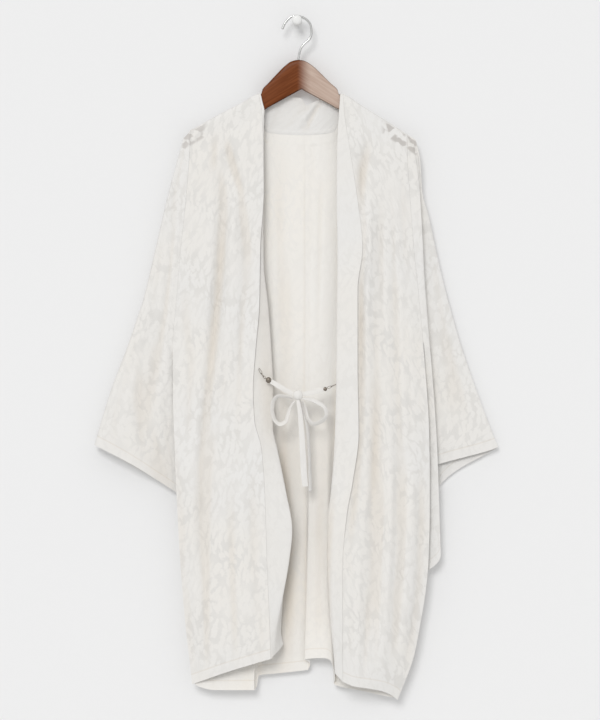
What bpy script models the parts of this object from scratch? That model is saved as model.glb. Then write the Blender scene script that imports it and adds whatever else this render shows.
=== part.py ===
# Haori on a wooden hanger, hung from a wall peg.
#
# Frame: metres, +Z up. The origin is the centre of the peg's flat back face, on the wall plane Y = 0.
# The garment hangs in front of the wall, towards -Y. +X is the viewer's right.
# The tables below are in millimetres: "x" is across, "drop" is the distance below the peg's centre,
# and "out" is the distance from the wall towards the viewer.

import bpy
import math
from collections import namedtuple
from mathutils import Vector

MM = 0.001

# Driving dimensions, millimetres
WALL = 1.2              # cloth wall
SEAM = 0.3              # space between two pieces at a seam
RIDGE_OUT = 22.0        # middle plane of the hanger, measured from the wall
ARM_HALF = 5.0          # half the thickness of the hanger's arms
RIBBON_WALL = 1.0       # tie ribbon, two layers of cloth
HOOK_WIRE = 4.0         # diameter of the hook's wire

# How the cloth turns over the hanger: steps away from the ridge, the same in front and behind
Wrap = namedtuple("Wrap", "out drop")
WRAP = [
    Wrap(SEAM / 2 + 0.1, 0.0),
    Wrap(3.6, 0.7),
    Wrap(6.3, 3.2),
    Wrap(7.2, 8.0),
    Wrap(7.8, 16.0),
]


# Interpolation along tables

def smooth_between(keys, values, key):
    """Monotone cubic through the points, level beyond its ends."""
    if key <= keys[0]:
        return values[0]
    if key >= keys[-1]:
        return values[-1]
    slopes = [(values[i + 1] - values[i]) / (keys[i + 1] - keys[i]) for i in range(len(keys) - 1)]
    tangents = [slopes[0]]
    for before, after in zip(slopes, slopes[1:]):
        tangents.append(0.0 if before * after <= 0 else 2 * before * after / (before + after))
    tangents.append(slopes[-1])
    i = 0
    while key > keys[i + 1]:
        i += 1
    span = keys[i + 1] - keys[i]
    t = (key - keys[i]) / span
    rise = values[i + 1] - values[i]
    blend = 3 * t * t - 2 * t * t * t
    pull_in = (t * t * t - 2 * t * t + t) * span * tangents[i]
    pull_out = (t * t * t - t * t) * span * tangents[i + 1]
    return values[i] + rise * blend + pull_in + pull_out


def follow(rows, column, key):
    """The value of a named column at a key, which is each row's first column."""
    return smooth_between([row[0] for row in rows], [getattr(row, column) for row in rows], key)


def fade(value, low, high):
    """0 below low, 1 above high, smooth between."""
    t = min(max((value - low) / (high - low), 0.0), 1.0)
    return t * t * (3 - 2 * t)


# Folds are soft ridges (height above 0) or troughs (below 0) along a curve down the cloth
Fold = namedtuple("Fold", "start_x start_drop mid_x end_x end_drop half_width height")


def fold_out(folds, x, drop):
    total = 0.0
    for fold in folds:
        t = (drop - fold.start_drop) / (fold.end_drop - fold.start_drop)
        if not 0 < t < 1:
            continue
        centre = (1 - t) * (1 - 2 * t) * fold.start_x + 4 * t * (1 - t) * fold.mid_x
        centre += t * (2 * t - 1) * fold.end_x
        away = abs(x - centre) / fold.half_width
        if away < 1:
            along = fade(t, 0.0, 0.3) * (1 - fade(t, 0.7, 1.0))
            total += fold.height * along * (0.5 + 0.5 * math.cos(math.pi * away))
    return total


def point(x, out, drop):
    return Vector((x * MM, -out * MM, -drop * MM))


# Meshes

def material(name, colour, roughness, metallic=0.0):
    made = bpy.data.materials.new(name)
    made.use_nodes = True
    shader = made.node_tree.nodes["Principled BSDF"]
    shader.inputs["Base Color"].default_value = (*colour, 1.0)
    shader.inputs["Roughness"].default_value = roughness
    shader.inputs["Metallic"].default_value = metallic
    return made


def new_object(name, points, faces, finish):
    mesh = bpy.data.meshes.new(name)
    mesh.from_pydata([tuple(p) for p in points], [], faces)
    mesh.materials.append(finish)
    mesh.shade_smooth()
    mesh.set_sharp_from_angle(angle=math.radians(40))
    made = bpy.data.objects.new(name, mesh)
    bpy.context.scene.collection.objects.link(made)
    return made


def cloth_wall(name, grid, finish, wall=WALL):
    """A closed wall around a grid of middle points: grid[row][column], rows down, columns across."""
    rows = len(grid)
    columns = len(grid[0])
    front = []
    back = []
    for r in range(rows):
        for c in range(columns):
            down = grid[min(r + 1, rows - 1)][c] - grid[max(r - 1, 0)][c]
            over = grid[r][min(c + 1, columns - 1)] - grid[r][max(c - 1, 0)]
            normal = down.cross(over).normalized()
            front.append(grid[r][c] + normal * wall * MM / 2)
            back.append(grid[r][c] - normal * wall * MM / 2)
    behind = rows * columns

    def at(r, c):
        return r * columns + c

    faces = []
    for r in range(rows - 1):
        for c in range(columns - 1):
            a, b, d, e = at(r, c), at(r, c + 1), at(r + 1, c), at(r + 1, c + 1)
            faces += [(a, d, e), (a, e, b)]
            faces += [(behind + a, behind + e, behind + d), (behind + a, behind + b, behind + e)]
    around = [at(0, c) for c in range(columns - 1)]
    around += [at(r, columns - 1) for r in range(rows - 1)]
    around += [at(rows - 1, c) for c in range(columns - 1, 0, -1)]
    around += [at(r, 0) for r in range(rows - 1, 0, -1)]
    for a, b in zip(around, around[1:] + around[:1]):
        faces += [(a, b, behind + b), (a, behind + b, behind + a)]
    return new_object(name, front + back, faces, finish)


def tube(name, path, radius, finish, sides=8, closed=False):
    """A round bar along a path, with flat ends, or a closed ring."""
    count = len(path)
    points = []
    faces = []
    side = Vector((0.0, -1.0, 0.0))
    for i, centre in enumerate(path):
        if closed:
            along = (path[(i + 1) % count] - path[i - 1]).normalized()
        else:
            along = (path[min(i + 1, count - 1)] - path[max(i - 1, 0)]).normalized()
        side = (side - along * side.dot(along)).normalized()
        other = along.cross(side)
        for k in range(sides):
            turn = 2 * math.pi * k / sides
            points.append(centre + (side * math.cos(turn) + other * math.sin(turn)) * radius * MM)
    links = count if closed else count - 1
    for i in range(links):
        for k in range(sides):
            a = i * sides + k
            b = i * sides + (k + 1) % sides
            c = ((i + 1) % count) * sides + k
            d = ((i + 1) % count) * sides + (k + 1) % sides
            faces.append((a, b, d, c))
    if not closed:
        faces.append(tuple(range(sides - 1, -1, -1)))
        faces.append(tuple((count - 1) * sides + k for k in range(sides)))
    return new_object(name, points, faces, finish)


def curve_through(knots, count):
    """Evenly numbered points on a smooth curve through the knots (Vectors)."""
    keys = list(range(len(knots)))
    made = []
    for i in range(count):
        key = (len(knots) - 1) * i / (count - 1)
        made.append(Vector([smooth_between(keys, [k[axis] for k in knots], key) for axis in range(3)]))
    return made


# The panels
#
# A panel is drawn row by row. Each row runs through knots, named in the panel's table, and the table
# has a row for each height where the section changes.

def section(knots, per_span, drop_of, folds):
    """One row of a panel. knots give (x, out) at a drop, and drop_of(column) gives each column's drop."""
    row = []
    keys = list(range(len(knots)))
    for column, key in enumerate(columns_between(per_span)):
        drop = drop_of(column)
        places = [place_at(drop) for place_at in knots]
        x = smooth_between(keys, [place[0] for place in places], key)
        out = smooth_between(keys, [place[1] for place in places], key)
        edge_gap = min(abs(x - places[0][0]), abs(x - places[-1][0]))
        row.append((x, out + fold_out(folds, x, drop) * fade(edge_gap, 0.0, 16.0), drop))
    return row


def columns_between(per_span):
    """Where the columns lie along the knots: per_span of them from each knot to the next."""
    keys = [span + i / pieces for span, pieces in enumerate(per_span) for i in range(pieces)]
    return keys + [float(len(per_span))]


def knot(rows, name):
    """A knot of a panel's table as a function of drop."""
    return lambda drop: (follow(rows, name + "_x", drop), follow(rows, name + "_out", drop))


LEVEL_EASE = 1.25        # rows lie closer together towards the top
TOP_PASSES = 4           # rounds in which the top edge's x and drop settle on each other


def everywhere(x):
    return 1.0


def hung_panel(knots, per_span, top, hem, levels, folds, side, settle, wrap_weight=everywhere):
    """A panel's middle points, rows down. It starts at the hanger's ridge, side +1 in front and -1 behind.

    top(x) is the drop of the top edge, hem is a table along the width, settle is the height over which the
    cloth leaves the hanger's face, and wrap_weight(x) is 1 where the cloth turns over the hanger, and 0
    where it ends below the neck.
    """
    count = sum(per_span)
    top_x = [x for x, out, drop in section(knots, per_span, lambda column: 0.0, [])]
    starts = [top(x) for x in top_x]
    for i in range(TOP_PASSES):
        top_x = [x for x, out, drop in section(knots, per_span, lambda column: starts[column], [])]
        starts = [top(x) for x in top_x]
    ends = [follow(hem, "drop", column / count) for column in range(count + 1)]
    weights = [wrap_weight(x) for x in top_x]
    grid = []
    for step in WRAP:
        row = section(knots, per_span, lambda column: starts[column] + step.drop, [])
        over = RIDGE_OUT + side * step.out
        grid.append([(x, out + (over - out) * weights[c], drop) for c, (x, out, drop) in enumerate(row)])
    last = WRAP[-1]
    over = RIDGE_OUT + side * last.out
    for i in range(1, levels + 1):
        share = (i / levels) ** LEVEL_EASE

        def drop_of(column):
            begin = starts[column] + last.drop
            return begin + (ends[column] - begin) * share
        row = section(knots, per_span, drop_of, folds)
        settled = []
        for c, (x, out, drop) in enumerate(row):
            hold = weights[c] * (1 - fade(drop - starts[c] - last.drop, 0.0, settle))
            settled.append((x, out + (over - out) * hold, drop))
        grid.append(settled)
    return [[point(*p) for p in row] for row in grid]


# The ridge: the line along which the cloth lies over the hanger's arms
RidgePoint = namedtuple("RidgePoint", "x drop")
RIDGE = [
    RidgePoint(-173, 180.5), RidgePoint(-145, 164.5), RidgePoint(-118, 150), RidgePoint(-90, 135.5),
    RidgePoint(-64, 121.5), RidgePoint(2, 112), RidgePoint(76, 122), RidgePoint(105, 139.5),
    RidgePoint(136, 159), RidgePoint(160, 174), RidgePoint(181, 187.5)]
RIDGE_TO_WOOD = 2.0      # down from the middle of the cloth's wall to the wood's top edge


def ridge(x):
    return follow(RIDGE, "drop", x)


# Fronts

Edge = namedtuple("Edge", "u drop")
FrontRow = namedtuple("FrontRow", "drop side_x side_out chest_x chest_out seam_x seam_out")

FRONT_RIGHT = [
    FrontRow(118, -173, 30, -118, 31, -64.3, 30),
    FrontRow(150, -174, 30, -118, 32, -58.5, 32),
    FrontRow(200, -176, 30, -118, 34, -56.5, 35),
    FrontRow(281, -182, 30, -120, 36, -55.0, 39),
    FrontRow(380, -192, 29, -122, 39, -60.5, 43),
    FrontRow(472, -200, 28, -124, 41, -62.0, 46),
    FrontRow(537, -205, 27, -126, 42, -67.5, 48),
    FrontRow(611, -205, 28, -128, 43, -72.3, 50),
    FrontRow(660, -204, 29, -128, 44, -70.0, 51),
    FrontRow(708, -202, 30, -126, 45, -58.4, 52),
    FrontRow(780, -199, 31, -124, 46, -53.0, 53),
    FrontRow(890, -193, 31, -120, 47, -49.5, 54),
    FrontRow(1000, -184, 30, -114, 47, -45.0, 54),
    FrontRow(1096, -173, 29, -108, 46, -42.5, 54),
]
FRONT_LEFT = [
    FrontRow(118, 181, 30, 128, 31, 76.3, 30),
    FrontRow(150, 181, 30, 132, 32, 78.0, 32),
    FrontRow(215, 182, 31, 136, 34, 87.5, 36),
    FrontRow(298, 187, 31, 142, 37, 100.0, 40),
    FrontRow(376, 193, 32, 147, 39, 108.0, 42),
    FrontRow(446, 200, 32, 150, 41, 99.8, 43),
    FrontRow(571, 211, 33, 156, 43, 99.8, 45),
    FrontRow(682, 218, 34, 160, 45, 101.5, 47),
    FrontRow(760, 219, 34, 158, 46, 92.0, 49),
    FrontRow(812, 219, 34, 152, 47, 82.5, 51),
    FrontRow(891, 217, 34, 148, 47, 75.6, 52),
    FrontRow(938, 213, 33, 144, 47, 75.4, 52),
    FrontRow(994, 204, 32, 140, 47, 75.4, 52),
    FrontRow(1050, 193, 31, 134, 46, 75.4, 52),
    FrontRow(1123, 166, 30, 122, 45, 76.6, 52),
]
FRONT_RIGHT_HEM = [Edge(0.0, 1097), Edge(0.15, 1090), Edge(0.42, 1077), Edge(0.8, 1061), Edge(1.0, 1053)]
FRONT_LEFT_HEM = [
    Edge(0.0, 1123), Edge(0.12, 1116), Edge(0.35, 1107), Edge(0.55, 1103), Edge(0.84, 1098), Edge(1.0, 1091)]

FRONT_RIGHT_FOLDS = [
    Fold(-122, 190, -124, -150, 620, 22, -7),
    Fold(-128, 560, -150, -158, 1000, 24, -6),
    Fold(-104, 230, -104, -120, 640, 20, 4),
    Fold(-118, 175, -95, -78, 420, 18, -4),
    Fold(-180, 640, -170, -158, 1080, 20, 4),
    Fold(-92, 720, -88, -84, 1060, 18, 3),
]
FRONT_LEFT_FOLDS = [
    Fold(122, 175, 88, 74, 470, 18, -5),
    Fold(122, 240, 118, 114, 700, 18, 5),
    Fold(160, 320, 166, 178, 900, 20, -4),
    Fold(136, 560, 132, 120, 1080, 22, -5),
    Fold(190, 700, 186, 160, 1090, 16, 4),
    Fold(150, 700, 150, 138, 1100, 14, 3),
]
FRONT_KNOTS = ["side", "chest", "seam"]
FRONT_SPANS = [6, 6]
FRONT_LEVELS = 22
PANEL_SETTLE = 60.0


def front_panels(cloth):
    right = hung_panel([knot(FRONT_RIGHT, name) for name in FRONT_KNOTS], FRONT_SPANS, ridge,
                       FRONT_RIGHT_HEM, FRONT_LEVELS, FRONT_RIGHT_FOLDS, +1, PANEL_SETTLE)
    left = hung_panel([knot(FRONT_LEFT, name) for name in FRONT_KNOTS], FRONT_SPANS, ridge,
                      FRONT_LEFT_HEM, FRONT_LEVELS, FRONT_LEFT_FOLDS, +1, PANEL_SETTLE)
    cloth_wall("front_right", right, cloth)
    cloth_wall("front_left", [list(reversed(row)) for row in left], cloth)


# Back, two panels with a seam down the centre

BackRightRow = namedtuple("BackRightRow", "drop blade_x blade_out step_x step_out rise_x rise_out "
                          "deep_x deep_out centre_x centre_out")
BACK_RIGHT = [
    BackRightRow(118, -125, 14, -66.5, 14.5, -65.2, 14.5, -51, 13, 13.0, 12),
    BackRightRow(200, -126, 14, -66.5, 14, -64.5, 13.5, -51, 13, 13.0, 12),
    BackRightRow(537, -140, 16, -66, 14, -62, 14, -52, 14, 13.0, 13),
    BackRightRow(700, -150, 19, -68, 16, -64, 15, -53, 14, 13.2, 13),
    BackRightRow(900, -150, 22, -70, 20, -67, 17, -58, 14, 15.0, 13),
    BackRightRow(1060, -138, 26, -71, 27, -69.5, 21, -63, 15, 18.0, 13),
    BackRightRow(1110, -130, 27, -71, 28, -70, 21, -63, 15, 19.5, 13),
]
BackLeftRow = namedtuple("BackLeftRow", "drop centre_x centre_out turn_x turn_out tuck_x tuck_out "
                         "crest_x crest_out rise_x rise_out under_x under_out blade_x blade_out")
BACK_LEFT = [
    BackLeftRow(118, 13.3, 12, 22, 12, 34, 12.5, 60, 13, 77.2, 14.5, 78.5, 14.5, 125, 14),
    BackLeftRow(200, 13.3, 12, 20, 12, 32, 12.5, 57, 13, 75.0, 13.5, 78.5, 14, 125, 14),
    BackLeftRow(571, 13.4, 13, 19, 13, 27, 14, 48, 15, 62, 14, 72, 14, 140, 20),
    BackLeftRow(760, 14.5, 13, 17, 14.5, 21, 18, 50, 21, 60, 17, 66, 15, 145, 22),
    BackLeftRow(900, 16.8, 13, 18, 16, 17, 20.5, 52, 26, 60, 21, 62, 15.5, 142, 24),
    BackLeftRow(1060, 19.6, 13, 21.5, 17, 13, 22, 57, 29, 62, 23, 60, 16, 130, 25),
    BackLeftRow(1123, 21.1, 13, 23, 17, 12, 22, 60, 29, 64, 23, 62, 16, 122, 25),
]
SIDE_BACK_OUT = 14.0     # the back's side edge at the armhole
ARMPIT_DROP = 537.0


def back_side(front_rows):
    """The back's side edge: its own place beside the armhole, then the front's edge at the side seam."""
    def at(drop):
        x, front_out = knot(front_rows, "side")(drop)
        seam_out = front_out - WALL - SEAM
        return x, SIDE_BACK_OUT + (seam_out - SIDE_BACK_OUT) * fade(drop, 330.0, ARMPIT_DROP)
    return at


# The back's neck edge, across from one ridge to the other
BACK_NECK = [
    RidgePoint(-66.5, 122.8), RidgePoint(-65.2, 122.8), RidgePoint(-61.5, 136), RidgePoint(-57, 165),
    RidgePoint(-51, 184), RidgePoint(-20, 188), RidgePoint(13, 189), RidgePoint(34, 188), RidgePoint(60, 184),
    RidgePoint(69, 168), RidgePoint(74, 140), RidgePoint(77.2, 123.4), RidgePoint(78.5, 123.4)]


def back_top(x):
    if BACK_NECK[0].x < x < BACK_NECK[-1].x:
        return follow(BACK_NECK, "drop", x)
    return ridge(x)


def off_the_neck(x):
    return 1.0 if x < BACK_NECK[0].x + 0.1 or x > BACK_NECK[-1].x - 0.1 else 0.0


BACK_RIGHT_HEM = [
    Edge(0.0, 1093), Edge(0.06, 1101), Edge(0.2, 1107), Edge(0.5, 1107), Edge(0.66, 1102), Edge(0.72, 1085),
    Edge(0.85, 1081), Edge(1.0, 1075)]
BACK_LEFT_HEM = [
    Edge(0.0, 1074), Edge(0.1, 1060), Edge(0.3, 1054), Edge(0.4, 1066), Edge(0.55, 1094), Edge(0.7, 1106),
    Edge(0.85, 1115), Edge(1.0, 1120)]
BACK_RIGHT_FOLDS = [
    Fold(-40, 260, -38, -44, 1000, 16, 3),
    Fold(-110, 330, -112, -110, 1000, 26, -4),
    Fold(-165, 600, -160, -150, 1080, 20, -3),
]
BACK_LEFT_FOLDS = [
    Fold(100, 330, 104, 104, 1000, 22, -4),
    Fold(160, 520, 164, 160, 1050, 20, -4),
]
BACK_RIGHT_SPANS = [4, 4, 1, 4, 4]
BACK_LEFT_SPANS = [1, 2, 4, 3, 1, 4, 4]
BACK_LEVELS = 20


def back_panels(cloth):
    right_knots = [back_side(FRONT_RIGHT)]
    right_knots += [knot(BACK_RIGHT, name) for name in ("blade", "step", "rise", "deep", "centre")]
    left_names = ("centre", "turn", "tuck", "crest", "rise", "under", "blade")
    left_knots = [knot(BACK_LEFT, name) for name in left_names]
    left_knots.append(back_side(FRONT_LEFT))
    right = hung_panel(right_knots, BACK_RIGHT_SPANS, back_top, BACK_RIGHT_HEM,
                       BACK_LEVELS, BACK_RIGHT_FOLDS, -1, PANEL_SETTLE, off_the_neck)
    left = hung_panel(left_knots, BACK_LEFT_SPANS, back_top, BACK_LEFT_HEM,
                      BACK_LEVELS, BACK_LEFT_FOLDS, -1, PANEL_SETTLE, off_the_neck)
    cloth_wall("back_right", right, cloth)
    cloth_wall("back_left", left, cloth)
    neck_right = right[0][sum(BACK_RIGHT_SPANS[:3]) - 1:]
    neck_left = left[0][1:sum(BACK_LEFT_SPANS[:5])]
    return neck_right + neck_left


# Collar band: two front lengths, sewn along the fronts' inner edges, and the length behind the neck

CollarRow = namedtuple("CollarRow", "drop gap seam_out roll_x roll_out edge_x edge_out")

# gap is the space between the band and the front along the seam, across.
# The right band hides behind the front's edge at the chest, turns out below it, and its lower corner
# curls away behind.
COLLAR_RIGHT = [
    CollarRow(118, 0.9, 30, -62.0, 30, -60.8, 30),
    CollarRow(135, 0.9, 30, -58.6, 30, -57.2, 30),
    CollarRow(150, 0.9, 31.2, -55.4, 30.8, -54.0, 29.2),
    CollarRow(168, 0.9, 31.8, -54.8, 29, -56.5, 26),
    CollarRow(200, 1.2, 35, -55.2, 30, -62, 26),
    CollarRow(300, 1.4, 37, -56.0, 30, -72, 25),
    CollarRow(400, 1.5, 40, -55.6, 33, -72, 25),
    CollarRow(472, 1.4, 43, -48.0, 35, -60, 27),
    CollarRow(558, 1.3, 46, -42.0, 36, -53, 27),
    CollarRow(611, 1.3, 48, -39.8, 38, -50, 28),
    CollarRow(670, 1.3, 50, -40.0, 40, -48, 30),
    CollarRow(712, 1.2, 52, -32.0, 44, -40, 34),
    CollarRow(777, 0.9, 53, -18.8, 48, -24, 37),
    CollarRow(842, 0.9, 53.5, -8.4, 50, -12, 41),
    CollarRow(891, 0.9, 54, -13.2, 50, -14, 38),
    CollarRow(958, 0.9, 54, -25.0, 50, -24, 32),
    CollarRow(1010, 0.9, 54, -35.5, 50, -27, 28),
    CollarRow(1053, 1.2, 54, -39.5, 50, -16, 26),
]
COLLAR_RIGHT_HEM = [Edge(0.0, 1053), Edge(0.5, 1050), Edge(1.0, 1031)]

# The left band lies open from the seam to a soft roll at the opening, and turns away more at the hem.
# Its seamed edge stands proud of the front from the chest to the knee.
COLLAR_LEFT = [
    CollarRow(118, 1.0, 30, 73.6, 30, 71.8, 30),
    CollarRow(135, 1.0, 30, 73.0, 30, 70.6, 30),
    CollarRow(150, 1.0, 31.5, 70.6, 31.5, 69.8, 29.6),
    CollarRow(182, 0.9, 33.4, 67.9, 33, 71, 29),
    CollarRow(215, 0.9, 36, 66.6, 33.5, 73, 28),
    CollarRow(298, 0.9, 40.5, 66.1, 36, 76, 27),
    CollarRow(376, 0.9, 43.5, 67.3, 38, 78, 29),
    CollarRow(446, 0.6, 46.5, 66.6, 41, 78, 31),
    CollarRow(571, 0.6, 49, 65.3, 43, 78, 32),
    CollarRow(649, 0.6, 50.5, 63.8, 44, 76, 33),
    CollarRow(708, 0.6, 51.5, 61.8, 44, 74, 33),
    CollarRow(778, 0.6, 53, 56.3, 45, 66, 34),
    CollarRow(826, 0.8, 54, 51.3, 46, 60, 35),
    CollarRow(891, 1.2, 52, 50.0, 43, 60, 33),
    CollarRow(980, 1.2, 52, 54.0, 40, 66, 31),
    CollarRow(1050, 1.2, 52, 61.0, 41, 70, 32),
    CollarRow(1091, 1.2, 52, 63.5, 43, 72, 34),
]
COLLAR_LEFT_HEM = [Edge(0.0, 1091), Edge(0.5, 1078), Edge(1.0, 1072)]
COLLAR_SPANS = [3, 2]
COLLAR_LEVELS = 32
COLLAR_SETTLE = 25.0


def collar_seam(front_rows, rows, side):
    """The band's seamed edge, beside the front's inner edge. side is -1 for the left band, +1 right."""
    def at(drop):
        x = follow(front_rows, "seam_x", drop) + side * follow(rows, "gap", drop)
        return x, follow(rows, "seam_out", drop)
    return at


# The length behind the neck stands up from the back's neck seam. Its free edge, across:
NeckRow = namedtuple("NeckRow", "along x out drop")
COLLAR_BACK_EDGE = [
    NeckRow(0.0, -60.4, 21.7, 120.4), NeckRow(0.035, -60.2, 15.2, 120.8), NeckRow(0.1, -57.0, 14.0, 122.5),
    NeckRow(0.2, -45.0, 13.4, 124), NeckRow(0.3, -30.0, 13.4, 126), NeckRow(0.42, -12.0, 12.6, 126),
    NeckRow(0.52, 6.0, 11.2, 127), NeckRow(0.6, 16.0, 11.6, 139), NeckRow(0.68, 28.0, 12.6, 134),
    NeckRow(0.78, 44.0, 13.4, 127), NeckRow(0.9, 66.0, 14.0, 123), NeckRow(0.965, 70.9, 15.2, 121.6),
    NeckRow(1.0, 71.4, 21.7, 121.2),
]
NECK_UP = 4
NECK_GAP = 0.8           # space between the collar and the back at the neck seam


def collar_back(neck, cloth):
    """neck is the back's neck edge. The collar's seamed edge runs beside it, and ends on the ridge."""
    seam = []
    for i, place in enumerate(neck):
        along = neck[min(i + 1, len(neck) - 1)] - neck[max(i - 1, 0)]
        inward = Vector((-along.z, 0.0, along.x)).normalized()
        seam.append(place + inward * NECK_GAP * MM)
    seam[0] = point(-63.6, 15.2, 122.3)
    seam[-1] = point(75.4, 15.2, 123.0)
    seam = [point(-63.4, 21.7, 121.2)] + seam + [point(75.3, 21.7, 121.9)]
    grid = []
    for up in range(NECK_UP, -1, -1):
        row = []
        for i, low in enumerate(seam):
            along = i / (len(seam) - 1)
            high = point(*(follow(COLLAR_BACK_EDGE, way, along) for way in ("x", "out", "drop")))
            row.append(low.lerp(high, up / NECK_UP))
        grid.append(row)
    cloth_wall("collar_back", grid, cloth)


def collar_bands(cloth):
    right_knots = [collar_seam(FRONT_RIGHT, COLLAR_RIGHT, +1)]
    right_knots += [knot(COLLAR_RIGHT, name) for name in ("roll", "edge")]
    left_knots = [collar_seam(FRONT_LEFT, COLLAR_LEFT, -1)]
    left_knots += [knot(COLLAR_LEFT, name) for name in ("roll", "edge")]
    right = hung_panel(right_knots, COLLAR_SPANS, ridge, COLLAR_RIGHT_HEM, COLLAR_LEVELS, [], +1,
                       COLLAR_SETTLE)
    left = hung_panel(left_knots, COLLAR_SPANS, ridge, COLLAR_LEFT_HEM, COLLAR_LEVELS, [], +1,
                      COLLAR_SETTLE)
    cloth_wall("collar_right", right, cloth)
    cloth_wall("collar_left", [list(reversed(row)) for row in left], cloth)


# Sleeves: flat tubes that hang from the armholes. Each is one sheet, folded along its upper outline. A
# row runs from the back layer's inner edge out to the fold, and back along the front layer. Above the
# armpit the inner edges lie along the armhole, and below it they meet behind the body.

SleeveRow = namedtuple("SleeveRow", "along inner_x inner_drop inner_out edge_x edge_drop edge_out "
                       "tuck_x tuck_drop tuck_out top_x top_drop top_out back_x back_drop back_out turn")
# edge and tuck are where the front layer turns under and out again, turn is half the space in the turn,
# and back is the middle of the back layer.
SLEEVE_RIGHT = [
    SleeveRow(0.0, -174, 181.4, 22, -178, 184, 23.6, -182, 189, 23.8, -187.3, 194.7, 22, -180, 187, 20.2, 0),
    SleeveRow(0.12, -176, 230, 30, -184, 232, 29, -191, 232, 26, -198, 232, 20, -187, 231, 13, 0),
    SleeveRow(0.25, -184, 300, 30, -195, 300, 29, -206, 299, 27, -215.8, 298, 18.5, -200, 299, 11, 0),
    SleeveRow(0.4, -194, 400, 29, -210, 397, 29, -224, 392, 27, -237, 390, 17.5, -215, 395, 9.5, 0),
    SleeveRow(0.55, -202, 490, 28, -221, 483, 28, -240, 474, 27, -256, 467, 17, -229, 479, 8.5, 0),
    SleeveRow(0.64, -206, 537, 27, -227, 527, 26.5, -250, 515, 26.5, -270, 508.5, 17, -238, 522, 8, 0),
    SleeveRow(0.72, -207, 590, 16, -232, 575, 23, -262, 560, 26, -284.5, 550, 17, -246, 568, 7.5, 0),
    SleeveRow(0.85, -186, 690, 12, -229, 668, 18, -274, 642, 26, -307.6, 611, 17, -247, 655, 7.5, 0),
    SleeveRow(1.0, -150, 812, 12, -212, 773, 16, -272, 735, 26, -335.3, 702, 17, -243, 754, 7.5, 0),
]
SLEEVE_LEFT = [
    SleeveRow(0.0, 182, 188.2, 22, 187, 191.5, 23.8, 191.5, 194, 23.8, 196, 197.5, 22, 189, 192.5, 20.2, 0.1),
    SleeveRow(0.08, 183, 225, 31, 196.5, 230, 28.5, 200.8, 231, 24.5, 203.8, 230, 19, 193, 228, 14, 0.8),
    SleeveRow(0.15, 186, 275, 31, 202.2, 280, 28.5, 203.6, 281, 23, 207.0, 279, 17, 196, 277, 11, 1.4),
    SleeveRow(0.22, 189, 325, 31, 205.5, 330, 29, 201.5, 328, 20, 218, 322, 14.5, 203, 323, 10, 1.7),
    SleeveRow(0.35, 197, 420, 32, 210.5, 425, 27.5, 205.5, 412, 17.5, 239, 418, 13, 215, 420, 9, 1.8),
    SleeveRow(0.5, 210, 537, 32.2, 219, 535, 27, 216, 505, 16.5, 268, 525, 12, 232, 530, 7.5, 1.8),
    SleeveRow(0.54, 212, 566, 26, 221.5, 566, 26.5, 218, 528, 16, 274.5, 546, 12, 234, 558, 7.2, 1.8),
    SleeveRow(0.6, 207, 620, 21, 225.5, 612, 25.5, 216.5, 565, 16, 285, 577, 12, 236, 600, 7, 1.8),
    SleeveRow(0.75, 192, 735, 20, 232, 715, 24.5, 209.5, 640, 16, 306, 636, 12, 238, 680, 6.5, 1.8),
    SleeveRow(0.9, 182, 855, 20, 235.5, 815, 24, 200, 715, 16, 323, 681, 12, 238, 740, 6.5, 1.8),
    SleeveRow(1.0, 174, 932, 20, 237.8, 882, 24, 195, 763, 16, 333.3, 706, 12, 238, 768, 6.5, 1.8),
]
ARMPIT_RIGHT = 0.64      # where along the sleeve its inner edges leave the armhole
ARMPIT_LEFT = 0.5
SLEEVE_ROWS = 25
FRONT_SHARES = [0.0, 0.36, 0.6, 1.0]
TURN_SHARES = [0.0, 0.34, 0.36, 0.38, 0.58, 0.6, 0.62, 1.0]
BACK_SHARES = [0.0, 0.5, 1.0]
RISE_SHARES = [0.0, 0.04, 0.5, 1.0]
COLUMNS_PLAIN = (0.0, 0.12, 0.24, 0.36, 0.48, 0.6, 0.72, 0.84, 0.91, 0.96, 0.99, 1.0)
COLUMNS_PLEATED = (
    0.0, 0.12, 0.24, 0.34, 0.36, 0.38, 0.48, 0.58, 0.6, 0.62, 0.7, 0.8, 0.9, 0.955, 0.988, 1.0)
COLUMNS_BACK = (0.0, 0.04, 0.12, 0.28, 0.46, 0.64, 0.82, 0.92, 0.97, 0.99)
ROUND_SHARE = 0.1        # the share of a row that turns over the fold
SLEEVE_GAP = 0.9         # space between the middles of the sleeve's edge and the body's, across
SHOULDER_TURN = 14.0     # height over which the sleeve's top rounds over at the shoulder
RIDGE_HALF = 0.8         # half the space between the sleeve's layers where they meet on the ridge


def rounded(share):
    share = min(max(share, 0.0), 1.0)
    return math.sqrt(1 - (1 - share) ** 2)


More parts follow.
